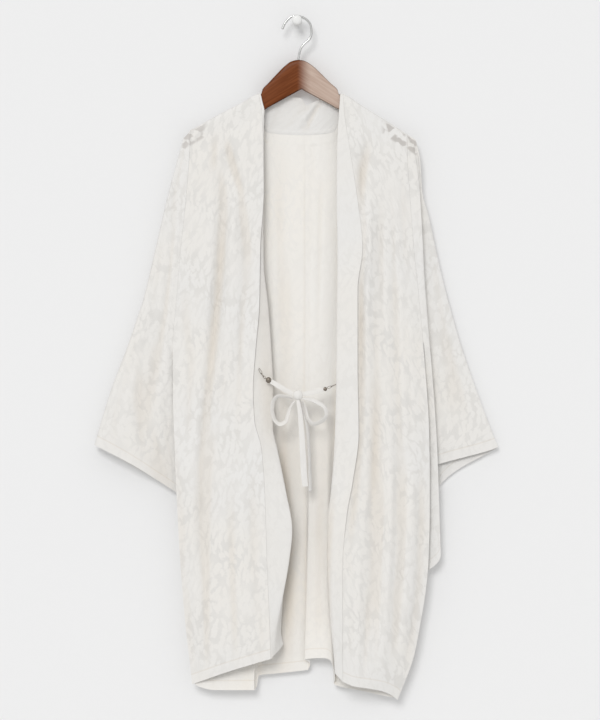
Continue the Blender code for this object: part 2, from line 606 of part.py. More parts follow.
def sleeve(name, rows, front_rows, side, armpit, columns, cloth):
    """side is -1 for the sleeve on the viewer's left and +1 on the right."""
    shoulder = ridge(follow(front_rows, "side_x", 0.0))
    grid = []
    for step in range(SLEEVE_ROWS + 1):
        along = (step / SLEEVE_ROWS) ** 1.35

        def at(column):
            return follow(rows, column, along)

        def layer(share, shares, xs, drops, out):
            x = smooth_between(shares, xs, share)
            drop = smooth_between(shares, drops, share)
            return point(x, at("top_out") + (out - at("top_out")) * rounded((1 - share) / ROUND_SHARE), drop)

        inner_drop = at("inner_drop")
        if along <= armpit:
            inner_x = follow(front_rows, "side_x", inner_drop) + side * SLEEVE_GAP
            turn_over = rounded((inner_drop - shoulder) / SHOULDER_TURN)
            front_low = RIDGE_OUT + RIDGE_HALF
            back_low = RIDGE_OUT - RIDGE_HALF
            front_in = front_low + (follow(front_rows, "side_out", inner_drop) - front_low) * turn_over
            back_in = back_low + (back_side(front_rows)(inner_drop)[1] - back_low) * turn_over
        else:
            inner_x = at("inner_x")
            front_in = at("inner_out")
            back_in = front_in - WALL - SEAM
        turn = at("turn")
        front_xs = [inner_x, at("edge_x"), at("tuck_x"), at("top_x")]
        front_drops = [inner_drop, at("edge_drop"), at("tuck_drop"), at("top_drop")]
        front_outs = [front_in, at("edge_out") + turn, at("edge_out"), at("edge_out") - turn,
                      at("tuck_out") + turn, at("tuck_out"), at("tuck_out") - turn, at("tuck_out") - turn]
        back_xs = [inner_x, at("back_x"), at("top_x")]
        back_drops = [inner_drop, at("back_drop"), at("top_drop")]
        back_outs = [back_in, back_in * 0.12 + at("back_out") * 0.88, at("back_out"), at("back_out")]
        row = []
        for share in COLUMNS_BACK:
            out = smooth_between(RISE_SHARES, back_outs, share)
            row.append(layer(share, BACK_SHARES, back_xs, back_drops, out))
        for share in reversed(columns):
            out = smooth_between(TURN_SHARES, front_outs, share)
            row.append(layer(share, FRONT_SHARES, front_xs, front_drops, out))
        grid.append(row)
    if side > 0:
        grid = [list(reversed(row)) for row in grid]
    cloth_wall(name, grid, cloth)


def sleeves(cloth):
    sleeve("sleeve_right", SLEEVE_RIGHT, FRONT_RIGHT, -1, ARMPIT_RIGHT, COLUMNS_PLAIN, cloth)
    sleeve("sleeve_left", SLEEVE_LEFT, FRONT_LEFT, +1, ARMPIT_LEFT, COLUMNS_PLEATED, cloth)


# Hanger

ArmPoint = namedtuple("ArmPoint", "x top tall")
# top is the drop of the wood's upper edge where it shows; under the cloth it follows the ridge
HANGER_OUTLINE = [
    ArmPoint(-170, None, 10), ArmPoint(-165, None, 16), ArmPoint(-155, None, 21), ArmPoint(-145, None, 24),
    ArmPoint(-131, None, 25), ArmPoint(-118, None, 26), ArmPoint(-104, None, 26), ArmPoint(-90, None, 26),
    ArmPoint(-76, None, 25), ArmPoint(-65, None, 25), ArmPoint(-59.5, None, 25), ArmPoint(-57.8, 115.0, 34.5),
    ArmPoint(-48, 104, 40), ArmPoint(-34, 89, 47.4), ArmPoint(-20, 75, 53.7), ArmPoint(-9, 67.4, 55.2),
    ArmPoint(2, 65.0, 51.5), ArmPoint(7.4, 65.4, 48.6), ArmPoint(14, 67.4, 50), ArmPoint(26, 75, 48.8),
    ArmPoint(40, 88, 43.3), ArmPoint(55, 103, 36.4), ArmPoint(67.6, 115.4, 30.8), ArmPoint(69.4, None, 24),
    ArmPoint(80, None, 25), ArmPoint(92, None, 26), ArmPoint(105, None, 26), ArmPoint(120, None, 26),
    ArmPoint(136, None, 25), ArmPoint(150, None, 23), ArmPoint(162, None, 20), ArmPoint(172, None, 16),
    ArmPoint(177, None, 10),
]
HANGER_CENTRE = 2.0
ARM_EASE = 2.0           # how far the wood's long edges are eased


def hanger(wood):
    """The hanger's outline, drawn flat and given its thickness, a little thicker at the neck."""
    points = []
    faces = []
    count = len(HANGER_OUTLINE)
    for p in HANGER_OUTLINE:
        half = ARM_HALF + 1.0 - fade(abs(p.x - HANGER_CENTRE), 30, 60)
        upper = ridge(p.x) + RIDGE_TO_WOOD if p.top is None else p.top
        lower = upper + p.tall
        for out, drop in ((half, upper + ARM_EASE), (half - ARM_EASE, upper), (ARM_EASE - half, upper),
                          (-half, upper + ARM_EASE), (-half, lower - ARM_EASE), (ARM_EASE - half, lower),
                          (half - ARM_EASE, lower), (half, lower - ARM_EASE)):
            points.append(point(p.x, RIDGE_OUT + out, drop))
    for i in range(count - 1):
        for k in range(8):
            a = i * 8 + k
            b = i * 8 + (k + 1) % 8
            faces.append((a, a + 8, b + 8, b))
    faces.append(tuple(range(8)))
    faces.append(tuple((count - 1) * 8 + k for k in range(7, -1, -1)))
    return new_object("hanger_wood", points, faces, wood)


HookPoint = namedtuple("HookPoint", "x drop")
HOOK_ROUTE = [
    HookPoint(-24.5, 14.5), HookPoint(-21.0, 6.5), HookPoint(-15.5, -1.5), HookPoint(-8.5, -6.6),
    HookPoint(0.5, -7.6), HookPoint(10.0, -5.0), HookPoint(18.0, 0.6), HookPoint(22.8, 8.6),
    HookPoint(24.2, 20.0), HookPoint(21.5, 29.5), HookPoint(14.5, 36.2), HookPoint(8.5, 42.5),
    HookPoint(5.0, 50.0), HookPoint(3.4, 57.0), HookPoint(2.4, 64.7)]


def hook(steel):
    path = curve_through([point(place.x, RIDGE_OUT, place.drop) for place in HOOK_ROUTE], 34)
    tube("hanger_hook", path, HOOK_WIRE / 2, steel, sides=8)


PegRing = namedtuple("PegRing", "out radius")
PEG = [
    PegRing(0.0, 7.5), PegRing(3.0, 7.5), PegRing(5.0, 5.3), PegRing(26.5, 5.3), PegRing(28.5, 7.4),
    PegRing(31.0, 8.2), PegRing(33.5, 7.4), PegRing(35.0, 4.6)]
PEG_SIDES = 20


def peg(white):
    points = []
    faces = []
    for ring in PEG:
        for k in range(PEG_SIDES):
            turn = 2 * math.pi * k / PEG_SIDES
            points.append(point(ring.radius * math.cos(turn), ring.out, ring.radius * math.sin(turn)))
    for i in range(len(PEG) - 1):
        for k in range(PEG_SIDES):
            a = i * PEG_SIDES + k
            b = i * PEG_SIDES + (k + 1) % PEG_SIDES
            faces.append((a, a + PEG_SIDES, b + PEG_SIDES, b))
    faces.append(tuple(range(PEG_SIDES)))
    faces.append(tuple((len(PEG) - 1) * PEG_SIDES + k for k in range(PEG_SIDES - 1, -1, -1)))
    return new_object("wall_peg", points, faces, white)


# Tie: on each side a chain and a bead with a ribbon, and the ribbons tied in a bow at the opening

RibbonPoint = namedtuple("RibbonPoint", "x out drop lean wide")
# lean turns the ribbon from facing the viewer, 0, to edge-on, 90
TIE_RIBBONS = {
    "tie_strap_right": [
        RibbonPoint(-42.4, 52.9, 596.7, 5, 7.6), RibbonPoint(-30, 55.0, 604.4, 8, 7.8),
        RibbonPoint(-18, 57, 611.6, 0, 7.8), RibbonPoint(-6.8, 58, 617.5, 0, 7.0)],
    "tie_strap_left": [
        RibbonPoint(9.6, 58, 617.6, 0, 6.6), RibbonPoint(20, 57.5, 616.0, 5, 7.6),
        RibbonPoint(31, 56.0, 613.8, 8, 7.8), RibbonPoint(43.0, 53.5, 610.4, 5, 7.2)],
    "tie_loop_right": [
        RibbonPoint(-5.6, 57.8, 624.4, 60, 5), RibbonPoint(-18, 58, 621.5, 62, 7),
        RibbonPoint(-30, 58.5, 621.0, 60, 8), RibbonPoint(-38.5, 59, 628.5, 58, 8),
        RibbonPoint(-40.5, 59, 642, 58, 8), RibbonPoint(-37.5, 59, 658, 58, 8),
        RibbonPoint(-28, 58.5, 667.0, 55, 8), RibbonPoint(-18.5, 58, 662, 58, 8),
        RibbonPoint(-14.0, 57.5, 648, 62, 8), RibbonPoint(-9.5, 57.5, 636, 62, 7),
        RibbonPoint(-3.6, 57.8, 628.0, 60, 5)],
    "tie_loop_left": [
        RibbonPoint(8.5, 57.8, 624.2, 60, 5), RibbonPoint(23, 58, 626.5, 55, 7),
        RibbonPoint(36, 58.5, 632.5, 52, 8), RibbonPoint(46, 59, 640.0, 58, 8),
        RibbonPoint(48.5, 59, 651, 58, 8), RibbonPoint(41, 59, 662, 56, 8),
        RibbonPoint(28, 58.5, 666.6, 55, 8), RibbonPoint(18, 58, 658, 58, 8),
        RibbonPoint(14.0, 57.5, 644, 62, 8), RibbonPoint(11.6, 57.5, 635, 62, 7),
        RibbonPoint(9.2, 58.8, 628.6, 62, 4.4)],
    "tie_tail_right": [
        RibbonPoint(1.4, 58.6, 627.5, 8, 5), RibbonPoint(4.5, 61, 645, 8, 7),
        RibbonPoint(7.6, 61, 680, 4, 8.6), RibbonPoint(9.8, 60.5, 720, 2, 9.4),
        RibbonPoint(11.4, 60, 748, 4, 9.6), RibbonPoint(13.6, 60, 769, 6, 9.2)],
    "tie_tail_left": [
        RibbonPoint(3.4, 56.2, 627.1, 20, 4), RibbonPoint(6.2, 52.6, 634, 30, 5),
        RibbonPoint(11, 50.8, 648, 45, 6.5),
        RibbonPoint(17.6, 51.5, 676, 55, 7.6), RibbonPoint(20.2, 51.5, 712, 58, 7.8),
        RibbonPoint(21.4, 51.5, 746, 55, 7.8), RibbonPoint(22.0, 51.5, 777, 50, 7.6)],
}
RIBBON_STEPS = {"tie_strap_right": 6, "tie_strap_left": 6, "tie_loop_right": 22, "tie_loop_left": 22,
                "tie_tail_right": 12, "tie_tail_left": 12}

BeadSize = namedtuple("BeadSize", "x out drop half_wide half_deep half_tall")
TIE_KNOT = BeadSize(1.6, 58, 619.2, 8.0, 5.2, 8.2)
TIE_BEADS = {"tie_bead_right": BeadSize(-46.9, 52.8, 594.5, 4.6, 3.6, 5.0),
             "tie_bead_left": BeadSize(46.4, 53.2, 609.2, 3.3, 2.9, 3.4)}
BEAD_RINGS = 6
BEAD_SIDES = 10

LinkPlace = namedtuple("LinkPlace", "start_x start_out start_drop end_x end_out end_drop lean")
TIE_LINKS = {
    "tie_link_right_1": LinkPlace(-51.3, 52.8, 591.6, -55.9, 51.2, 588.0, 20),
    "tie_link_right_2": LinkPlace(-54.6, 51.7, 588.9, -59.2, 49.4, 583.0, 110),
    "tie_link_right_3": LinkPlace(-57.9, 50.1, 584.6, -62.4, 46.3, 575.6, 20),
    "tie_link_left_1": LinkPlace(49.9, 52.8, 607.7, 57.0, 50.2, 604.8, 20),
    "tie_link_left_2": LinkPlace(55.6, 50.8, 605.4, 64.2, 44.6, 601.8, 110),
}
LINK_WIRE = 0.7
LINK_WIDE = 3.4
LINK_STEPS = 10


def ribbon(name, table, finish, count):
    """A flat ribbon along a table of points."""
    keys = list(range(len(table)))
    grid = []
    for i in range(count + 1):
        key = (len(table) - 1) * i / count

        def value(column, at):
            return smooth_between(keys, [getattr(p, column) for p in table], at)

        def place(at):
            return point(*(value(way, at) for way in ("x", "out", "drop")))
        along = (place(min(key + 0.1, keys[-1])) - place(max(key - 0.1, 0))).normalized()
        across = along.cross(Vector((0.0, -1.0, 0.0))).normalized()
        rest = across.cross(along).normalized()
        lean = math.radians(value("lean", key))
        side = (across * math.cos(lean) + rest * math.sin(lean)) * value("wide", key) * MM / 2
        grid.append([place(key) - side, place(key), place(key) + side])
    cloth_wall(name, grid, finish, RIBBON_WALL)


def bead(name, size, finish):
    """A rounded bead: rings across from one side to the other, with small flat ends."""
    points = []
    faces = []
    for ring in range(BEAD_RINGS + 1):
        turn = math.pi * (0.1 + 0.8 * ring / BEAD_RINGS)
        for k in range(BEAD_SIDES):
            around = 2 * math.pi * k / BEAD_SIDES
            points.append(point(size.x - size.half_wide * math.cos(turn),
                                size.out + size.half_deep * math.sin(turn) * math.cos(around),
                                size.drop + size.half_tall * math.sin(turn) * math.sin(around)))
    for i in range(BEAD_RINGS):
        for k in range(BEAD_SIDES):
            a = i * BEAD_SIDES + k
            b = i * BEAD_SIDES + (k + 1) % BEAD_SIDES
            faces.append((a, b, b + BEAD_SIDES, a + BEAD_SIDES))
    faces.append(tuple(range(BEAD_SIDES - 1, -1, -1)))
    faces.append(tuple(BEAD_RINGS * BEAD_SIDES + k for k in range(BEAD_SIDES)))
    return new_object(name, points, faces, finish)


def link(name, place, finish):
    """One long ring of a chain."""
    start = point(place.start_x, place.start_out, place.start_drop)
    end = point(place.end_x, place.end_out, place.end_drop)
    along = (end - start).normalized()
    across = along.cross(Vector((0.0, -1.0, 0.0))).normalized()
    rest = across.cross(along).normalized()
    lean = math.radians(place.lean)
    side = across * math.cos(lean) + rest * math.sin(lean)
    half = (end - start).length / 2
    path = []
    for i in range(LINK_STEPS):
        turn = 2 * math.pi * i / LINK_STEPS
        reach = along * half * math.cos(turn)
        path.append((start + end) / 2 + reach + side * LINK_WIDE * MM / 2 * math.sin(turn))
    tube(name, path, LINK_WIRE / 2, finish, sides=5, closed=True)


def tie(ribbon_cloth, dark_metal):
    for name, table in TIE_RIBBONS.items():
        ribbon(name, table, ribbon_cloth, RIBBON_STEPS[name])
    bead("tie_knot", TIE_KNOT, ribbon_cloth)
    for name, size in TIE_BEADS.items():
        bead(name, size, dark_metal)
    for name, place in TIE_LINKS.items():
        link(name, place, dark_metal)


def clear_scene():
    for old in list(bpy.data.objects):
        bpy.data.objects.remove(old, do_unlink=True)


def main():
    clear_scene()
    cloth = material("cloth", (0.80, 0.77, 0.70), 0.85)
    wood = material("wood", (0.22, 0.07, 0.03), 0.35)
    steel = material("steel", (0.60, 0.60, 0.60), 0.25, 1.0)
    dark_metal = material("dark_metal", (0.06, 0.055, 0.05), 0.3, 1.0)
    white = material("white_paint", (0.85, 0.85, 0.84), 0.45)
    front_panels(cloth)
    neck = back_panels(cloth)
    collar_bands(cloth)
    collar_back(neck, cloth)
    sleeves(cloth)
    tie(cloth, dark_metal)
    hanger(wood)
    hook(steel)
    peg(white)


main()
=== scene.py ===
# Haori on a wooden hanger, dressed for its picture.
#
# Frame: metres, +Z up. The origin is the centre of the peg's flat back face, on the wall plane Y = 0.
# The garment hangs in front of the wall, towards -Y. +X is the viewer's right.
# The tables below are in millimetres: "x" is across, "drop" is the distance below the peg's centre,
# and "out" is the distance from the wall towards the viewer.

import bpy
import math
from collections import namedtuple
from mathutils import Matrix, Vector, noise


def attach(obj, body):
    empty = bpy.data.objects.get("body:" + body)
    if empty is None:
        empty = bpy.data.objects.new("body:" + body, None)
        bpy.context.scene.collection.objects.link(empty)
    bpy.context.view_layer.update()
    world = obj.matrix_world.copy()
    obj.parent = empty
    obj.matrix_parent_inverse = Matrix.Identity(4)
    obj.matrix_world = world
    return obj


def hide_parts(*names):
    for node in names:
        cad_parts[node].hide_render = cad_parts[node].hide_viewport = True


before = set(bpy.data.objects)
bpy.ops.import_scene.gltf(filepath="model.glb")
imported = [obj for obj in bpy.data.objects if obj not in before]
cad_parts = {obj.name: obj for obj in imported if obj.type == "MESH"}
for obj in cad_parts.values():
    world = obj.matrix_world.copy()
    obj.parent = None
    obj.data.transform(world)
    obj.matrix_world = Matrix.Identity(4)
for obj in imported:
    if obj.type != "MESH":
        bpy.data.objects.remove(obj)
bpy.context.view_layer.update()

MM = 0.001

# Driving dimensions, millimetres
WALL = 1.2              # wall of the solid that each cloth piece stands for
CLOTH = 0.7             # single cloth
BAND_CLOTH = 1.1        # collar, two layers
SEAM = 0.3              # space between two pieces at a seam
RIDGE_OUT = 22.0        # middle plane of the hanger, measured from the wall
ARM_HALF = 5.0          # half the thickness of the hanger's arms
HOOK_WIRE = 4.0         # diameter of the hook's wire
FRONTWARD = Vector((0.0, -1.0, 0.0))


# Tables and interpolation along them

def rows(kind, *values):
    """A table whose rows have the named columns of kind."""
    return [kind(*row) for row in values]


def smooth_between(keys, values, key):
    """Monotone cubic through the points, level beyond its ends."""
    if key <= keys[0]:
        return values[0]
    if key >= keys[-1]:
        return values[-1]
    slopes = [(values[i + 1] - values[i]) / (keys[i + 1] - keys[i]) for i in range(len(keys) - 1)]
    tangents = [slopes[0]]
    for before, after in zip(slopes, slopes[1:]):
        tangents.append(0.0 if before * after <= 0 else 2 * before * after / (before + after))
    tangents.append(slopes[-1])
    i = 0
    while key > keys[i + 1]:
        i += 1
    span = keys[i + 1] - keys[i]
    t = (key - keys[i]) / span
    rise = values[i + 1] - values[i]
    ease = 3 * t * t - 2 * t * t * t
    pull_in = (t * t * t - 2 * t * t + t) * span * tangents[i]
    pull_out = (t * t * t - t * t) * span * tangents[i + 1]
    return values[i] + rise * ease + pull_in + pull_out


def follow(table, column, key):
    """The value of a named column at a key, which is each row's first column."""
    return smooth_between([row[0] for row in table], [getattr(row, column) for row in table], key)


def through(table, column, key):
    """The value of a named column at a key that counts the rows, 0 at the first."""
    return smooth_between(list(range(len(table))), [getattr(row, column) for row in table], key)


def fade(value, low, high):
    """0 below low, 1 above high, smooth between."""
    t = min(max((value - low) / (high - low), 0.0), 1.0)
    return t * t * (3 - 2 * t)


def rounded(share):
    """A quarter circle's height, 0 to 1, over a share from 0 to 1."""
    share = min(max(share, 0.0), 1.0)
    return math.sqrt(1 - (1 - share) ** 2)


# Folds are soft ridges (height above 0) or troughs (below 0) along a curve down the cloth
Fold = namedtuple("Fold", "start_x start_drop mid_x end_x end_drop half_width height")


def fold_out(folds, x, drop):
    total = 0.0
    for fold in folds:
        t = (drop - fold.start_drop) / (fold.end_drop - fold.start_drop)
        if not 0 < t < 1:
            continue
        centre = (1 - t) * (1 - 2 * t) * fold.start_x + 4 * t * (1 - t) * fold.mid_x
        centre += t * (2 * t - 1) * fold.end_x
        away = abs(x - centre) / fold.half_width
        if away < 1:
            along = fade(t, 0.0, 0.3) * (1 - fade(t, 0.7, 1.0))
            total += fold.height * along * (0.5 + 0.5 * math.cos(math.pi * away))
    return total


def point(x, out, drop):
    return Vector((x * MM, -out * MM, -drop * MM))


def turns(count, shift=0.0):
    """The angles of so many points round a ring, the first one shifted by a share of a step."""
    return [2 * math.pi * (k + shift) / count for k in range(count)]


# Small unevenness of hanging cloth, between its folds
CRUMPLE_WIDE = 38.0      # across
CRUMPLE_TALL = 120.0     # down
CRUMPLE_OUT = 1.6
FINE_ACROSS = 2.7        # the fine part: so many times smaller, across and down
FINE_DOWN = 2.3
FINE_SHARE = 0.35
FINE_SEED = 9.0


def crumple(x, drop, seed):
    wide = noise.noise(Vector((x / CRUMPLE_WIDE, drop / CRUMPLE_TALL, seed)))
    small = Vector((x / CRUMPLE_WIDE * FINE_ACROSS, drop / CRUMPLE_TALL * FINE_DOWN, seed + FINE_SEED))
    return (wide + FINE_SHARE * noise.noise(small)) * CRUMPLE_OUT


# Meshes

def new_piece(name, points, faces, finish, stands_for, flat=None, smooth=40):
    """A mesh in the part's frame that stands for its solid. flat holds each point's cloth coordinates."""
    mesh = bpy.data.meshes.new(name)
    mesh.from_pydata([tuple(p) for p in points], [], faces)
    mesh.materials.append(finish)
    mesh.shade_smooth()
    mesh.set_sharp_from_angle(angle=math.radians(smooth))
    if flat:
        layer = mesh.uv_layers.new(name="cloth")
        for loop in mesh.loops:
            layer.data[loop.index].uv = flat[loop.vertex_index]
    made = bpy.data.objects.new(name, mesh)
    bpy.context.scene.collection.objects.link(made)
    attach(made, "root")
    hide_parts(stands_for)
    return made


def lengths_along(line):
    """The running length at each point of a line, metres."""
    run = [0.0]
    for a, b in zip(line, line[1:]):
        run.append(run[-1] + (b - a).length)
    return run


# What each cloth piece was cut to before it was sewn, in metres and square metres
Cut = namedtuple("Cut", "wide long area")
# Painted shade: a crease darkens the cloth's colour by its depth, and the named shades add to it
VALLEY_REACH = 4         # columns to each side over which a crease is felt
VALLEY_FULL = 2.6        # depth of a crease that is fully shaded, millimetres
VALLEY_SHADE = 0.22      # how dark such a crease is
HEMMED = ("front", "back", "sleeve")
HEM_DEEP = 0.016         # the turned-up hem, metres


def shade_of(row, c, normal, shades):
    """The painted shade at a point of a row, 0 to 1: how deep it lies in a crease, with the places named in
    shades added.
    """
    low = row[max(c - VALLEY_REACH, 0)]
    high = row[min(c + VALLEY_REACH, len(row) - 1)]
    valley = ((low + high) / 2 - row[c]).dot(normal) / MM / VALLEY_FULL
    named = fold_out(shades, row[c].x / MM, -row[c].z / MM)
    return min(min(max(valley, 0.0), 1.0) * VALLEY_SHADE + abs(named), 1.0)


def shell(name, grid, finish, thick=CLOTH, start=(0.0, 0.0), shades=(), hangs_flat=False, outside=None):
    """A thin closed cloth around a grid of middle points: grid[row][column], rows down, columns across.

    start shifts the cloth coordinates, so that the weave's figure isn't the same on two pieces. shades are
    the places, in the form of folds, where warm shade is painted into the colour, on top of the painted
    shade in each crease. Where the cloth hangs_flat, its coordinates are its places on the hanging plane,
    and otherwise lengths along the cloth. outside is another finish for the layer behind, which then gets
    no painted crease shade.
    """
    count = len(grid)
    columns = len(grid[0])
    front = []
    back = []
    flat = []
    shaded = []
    to_hem = []
    hemmed = name.startswith(HEMMED)
    across = [lengths_along(row) for row in grid]
    downs = [lengths_along([row[c] for row in grid]) for c in range(columns)]
    for r, row in enumerate(grid):
        for c, middle in enumerate(row):
            down = grid[min(r + 1, count - 1)][c] - grid[max(r - 1, 0)][c]
            over = row[min(c + 1, columns - 1)] - row[max(c - 1, 0)]
            normal = down.cross(over).normalized()
            front.append(middle + normal * thick * MM / 2)
            back.append(middle - normal * thick * MM / 2)
            if hangs_flat:
                flat.append((start[0] + middle.x, start[1] + middle.z))
            else:
                flat.append((start[0] + across[r][c], start[1] - downs[c][r]))
            to_hem.append(downs[c][-1] - downs[c][r] if hemmed else 1.0)
            shaded.append(shade_of(row, c, normal, shades))
    behind = count * columns
    faces = []
    for r in range(count - 1):
        for c in range(columns - 1):
            a = r * columns + c
            d = a + columns
            faces.append((a, d, d + 1, a + 1))
            faces.append((behind + a, behind + a + 1, behind + d + 1, behind + d))
    around = list(range(columns - 1))
    around += [r * columns + columns - 1 for r in range(count - 1)]
    around += [(count - 1) * columns + c for c in range(columns - 1, 0, -1)]
    around += [r * columns for r in range(count - 1, 0, -1)]
    for a, b in zip(around, around[1:] + around[:1]):
        faces.append((a, b, behind + b, behind + a))
    made = new_piece("cloth_" + name, front + back, faces, finish, name, flat=flat + flat)
    shaded_behind = [0.0] * behind if outside else shaded
    # The crease attribute carries the painted shade into the finish
    for label, values in (("crease", shaded + shaded_behind), ("to_hem", to_hem + to_hem)):
        made.data.attributes.new(label, "FLOAT", "POINT").data.foreach_set("value", values)
    if outside:
        made.data.materials.append(outside)
        for face in made.data.polygons:
            face.material_index = int(min(face.vertices) >= behind)
    return made


def ring_faces(count, sides, closed=False, turned=False):
    """The faces that join count rings of points into a bar with two ends, or into a closed loop. turned is
    for rings that run the other way round."""
    faces = []
    for i in range(count if closed else count - 1):
        following = (i + 1) % count
        for k in range(sides):
            after = (k + 1) % sides
            face = (i * sides + k, i * sides + after, following * sides + after, following * sides + k)
            faces.append((face[0], face[3], face[2], face[1]) if turned else face)
    if not closed:
        ends = [tuple(reversed(range(sides))), tuple(range((count - 1) * sides, count * sides))]
        faces += [tuple(reversed(end)) for end in ends] if turned else ends
    return faces


def tube(name, path, radius_at, finish, stands_for, sides, closed=False):
    """A round bar along a path, or a closed ring. radius_at(share) is in millimetres."""
    count = len(path)
    points = []
    side = FRONTWARD
    for i, centre in enumerate(path):
        if closed:
            along = (path[(i + 1) % count] - path[i - 1]).normalized()
        else:
            along = (path[min(i + 1, count - 1)] - path[max(i - 1, 0)]).normalized()
        side = (side - along * side.dot(along)).normalized()
        other = along.cross(side)
        radius = radius_at(i / (count - 1))
        for turn in turns(sides):
            points.append(centre + (side * math.cos(turn) + other * math.sin(turn)) * radius * MM)
    new_piece(name, points, ring_faces(count, sides, closed), finish, stands_for, smooth=60)


def leaning(along, lean):
    """The direction across a ribbon or link: 0 faces the viewer, 90 degrees is edge-on."""
    across = along.cross(FRONTWARD).normalized()
    rest = across.cross(along).normalized()
    return across * math.cos(math.radians(lean)) + rest * math.sin(math.radians(lean))


# Panels are drawn row by row. Each row runs through knots, named in the panel's table, and the table
# has a row for each height where the section changes.

# How the cloth turns over the hanger: steps away from the ridge, the same in front and behind
Wrap = namedtuple("Wrap", "out drop")
WRAP = rows(Wrap, (SEAM / 2 + 0.1, 0), (3.6, 0.7), (6.3, 3.2), (7.2, 8), (7.8, 16))
WRAP_FINE = 3            # rows for each of these steps
LEVEL_EASE = 1.25        # rows lie closer together towards the top
TOP_PASSES = 4           # rounds in which the top edge's x and drop settle on each other
EDGE_CALM = 16.0         # how near a panel's edges its folds die away


def columns_between(per_span):
    """Where the columns lie along the knots: per_span of them from each knot to the next."""
    keys = [span + i / pieces for span, pieces in enumerate(per_span) for i in range(pieces)]
    return keys + [float(len(per_span))]


def knot(table, name):
    """A knot of a panel's table as a function of drop."""
    return lambda drop: (follow(table, name + "_x", drop), follow(table, name + "_out", drop))


def section(knots, per_span, drop_of, folds, seed=None):
    """One row of a panel. Each knot is a function that gives (x, out) at a drop, and drop_of(column) gives
    the drop."""
    row = []
    keys = list(range(len(knots)))
    for column, key in enumerate(columns_between(per_span)):
        drop = drop_of(column)
        places = [place_at(drop) for place_at in knots]
        x = smooth_between(keys, [place[0] for place in places], key)
        out = smooth_between(keys, [place[1] for place in places], key)
        edge_gap = min(abs(x - places[0][0]), abs(x - places[-1][0]))
        lift = fold_out(folds, x, drop)
        if seed is not None:
            lift += crumple(x, drop, seed)
        row.append((x, out + lift * fade(edge_gap, 0.0, EDGE_CALM), drop))
    return row


def everywhere(x):
    return 1.0


def hung_panel(knots, per_span, top, hem, levels, folds, side, settle, seed, wrap_weight=everywhere):
    """A panel's middle points, rows down. It starts at the hanger's ridge, side +1 in front and -1 behind.

    top(x) is the drop of the top edge, hem is a table along the width, settle is the height over which the
    cloth leaves the hanger's face, and wrap_weight(x) is 1 where the cloth turns over the hanger, and 0
    where it ends below the neck.
    """
    count = sum(per_span)
    top_x = [x for x, out, drop in section(knots, per_span, lambda column: 0.0, [])]
    starts = [top(x) for x in top_x]
    for i in range(TOP_PASSES):
        top_x = [x for x, out, drop in section(knots, per_span, lambda column: starts[column], [])]
        starts = [top(x) for x in top_x]
    ends = [follow(hem, "drop", column / count) for column in range(count + 1)]
    weights = [wrap_weight(x) for x in top_x]
    grid = []
    for i in range((len(WRAP) - 1) * WRAP_FINE + 1):
        over = RIDGE_OUT + side * through(WRAP, "out", i / WRAP_FINE)
        fall = through(WRAP, "drop", i / WRAP_FINE)
        row = section(knots, per_span, lambda column: starts[column] + fall, [])
        grid.append([(x, out + (over - out) * weights[c], drop) for c, (x, out, drop) in enumerate(row)])
    last = WRAP[-1]
    over = RIDGE_OUT + side * last.out
    for i in range(1, levels + 1):
        share = (i / levels) ** LEVEL_EASE

        def drop_of(column):
            begin = starts[column] + last.drop
            return begin + (ends[column] - begin) * share
        row = section(knots, per_span, drop_of, folds, seed)
        settled = []
        for c, (x, out, drop) in enumerate(row):
            hold = weights[c] * (1 - fade(drop - starts[c] - last.drop, 0.0, settle))
            settled.append((x, out + (over - out) * hold, drop))
        grid.append(settled)
    return [[point(*p) for p in row] for row in grid]


def other_way(grid):
    """The same panel with its columns from right to left, so that its front layer faces the viewer."""
    return [list(reversed(row)) for row in grid]


# The ridge: the line along which the cloth lies over the hanger's arms
RidgePoint = namedtuple("RidgePoint", "x drop")
RIDGE = rows(
    RidgePoint,
    (-173, 180.5), (-145, 164.5), (-118, 150), (-90, 135.5), (-64, 121.5), (2, 112), (76, 122),
    (105, 139.5), (136, 159), (160, 174), (181, 187.5))
RIDGE_TO_WOOD = 2.0      # down from the middle of the cloth's wall to the wood's top edge


def ridge(x):
    return follow(RIDGE, "drop", x)


# Fronts

Edge = namedtuple("Edge", "u drop")
FrontRow = namedtuple("FrontRow", "drop side_x side_out chest_x chest_out seam_x seam_out")
FRONT_RIGHT = rows(
    FrontRow,
    (118, -173, 30, -118, 31, -64.3, 30),
    (150, -174, 30, -118, 32, -58.5, 32),
    (200, -176, 30, -118, 34, -56.5, 35),
    (281, -182, 30, -120, 36, -55, 39),
    (380, -192, 29, -122, 39, -60.5, 43),
    (472, -200, 28, -124, 41, -62, 46),
    (537, -205, 27, -126, 42, -67.5, 48),
    (611, -205, 28, -128, 43, -72.3, 50),
    (660, -204, 29, -128, 44, -70, 51),
    (708, -202, 30, -126, 45, -58.4, 52),
    (780, -199, 31, -124, 46, -53, 53),
    (890, -193, 31, -120, 47, -49.5, 54),
    (1000, -184, 30, -114, 47, -45, 54),
    (1096, -173, 29, -108, 46, -42.5, 54))
FRONT_LEFT = rows(
    FrontRow,
    (118, 181, 30, 128, 31, 76.3, 30),
    (150, 181, 30, 132, 32, 78, 32),
    (215, 182, 31, 136, 34, 87.5, 36),
    (298, 187, 31, 142, 37, 100, 40),
    (376, 193, 32, 147, 39, 108, 42),
    (446, 200, 32, 150, 41, 99.8, 43),
    (571, 211, 33, 156, 43, 99.8, 45),
    (682, 218, 34, 160, 45, 101.5, 47),
    (760, 219, 34, 158, 46, 92, 49),
    (812, 219, 34, 152, 47, 82.5, 51),
    (891, 217, 34, 148, 47, 75.6, 52),
    (938, 213, 33, 144, 47, 75.4, 52),
    (994, 204, 32, 140, 47, 75.4, 52),
    (1050, 193, 31, 134, 46, 75.4, 52),
    (1123, 166, 30, 122, 45, 76.6, 52))
FRONT_RIGHT_HEM = rows(Edge, (0, 1097), (0.15, 1090), (0.42, 1077), (0.8, 1061), (1, 1053))
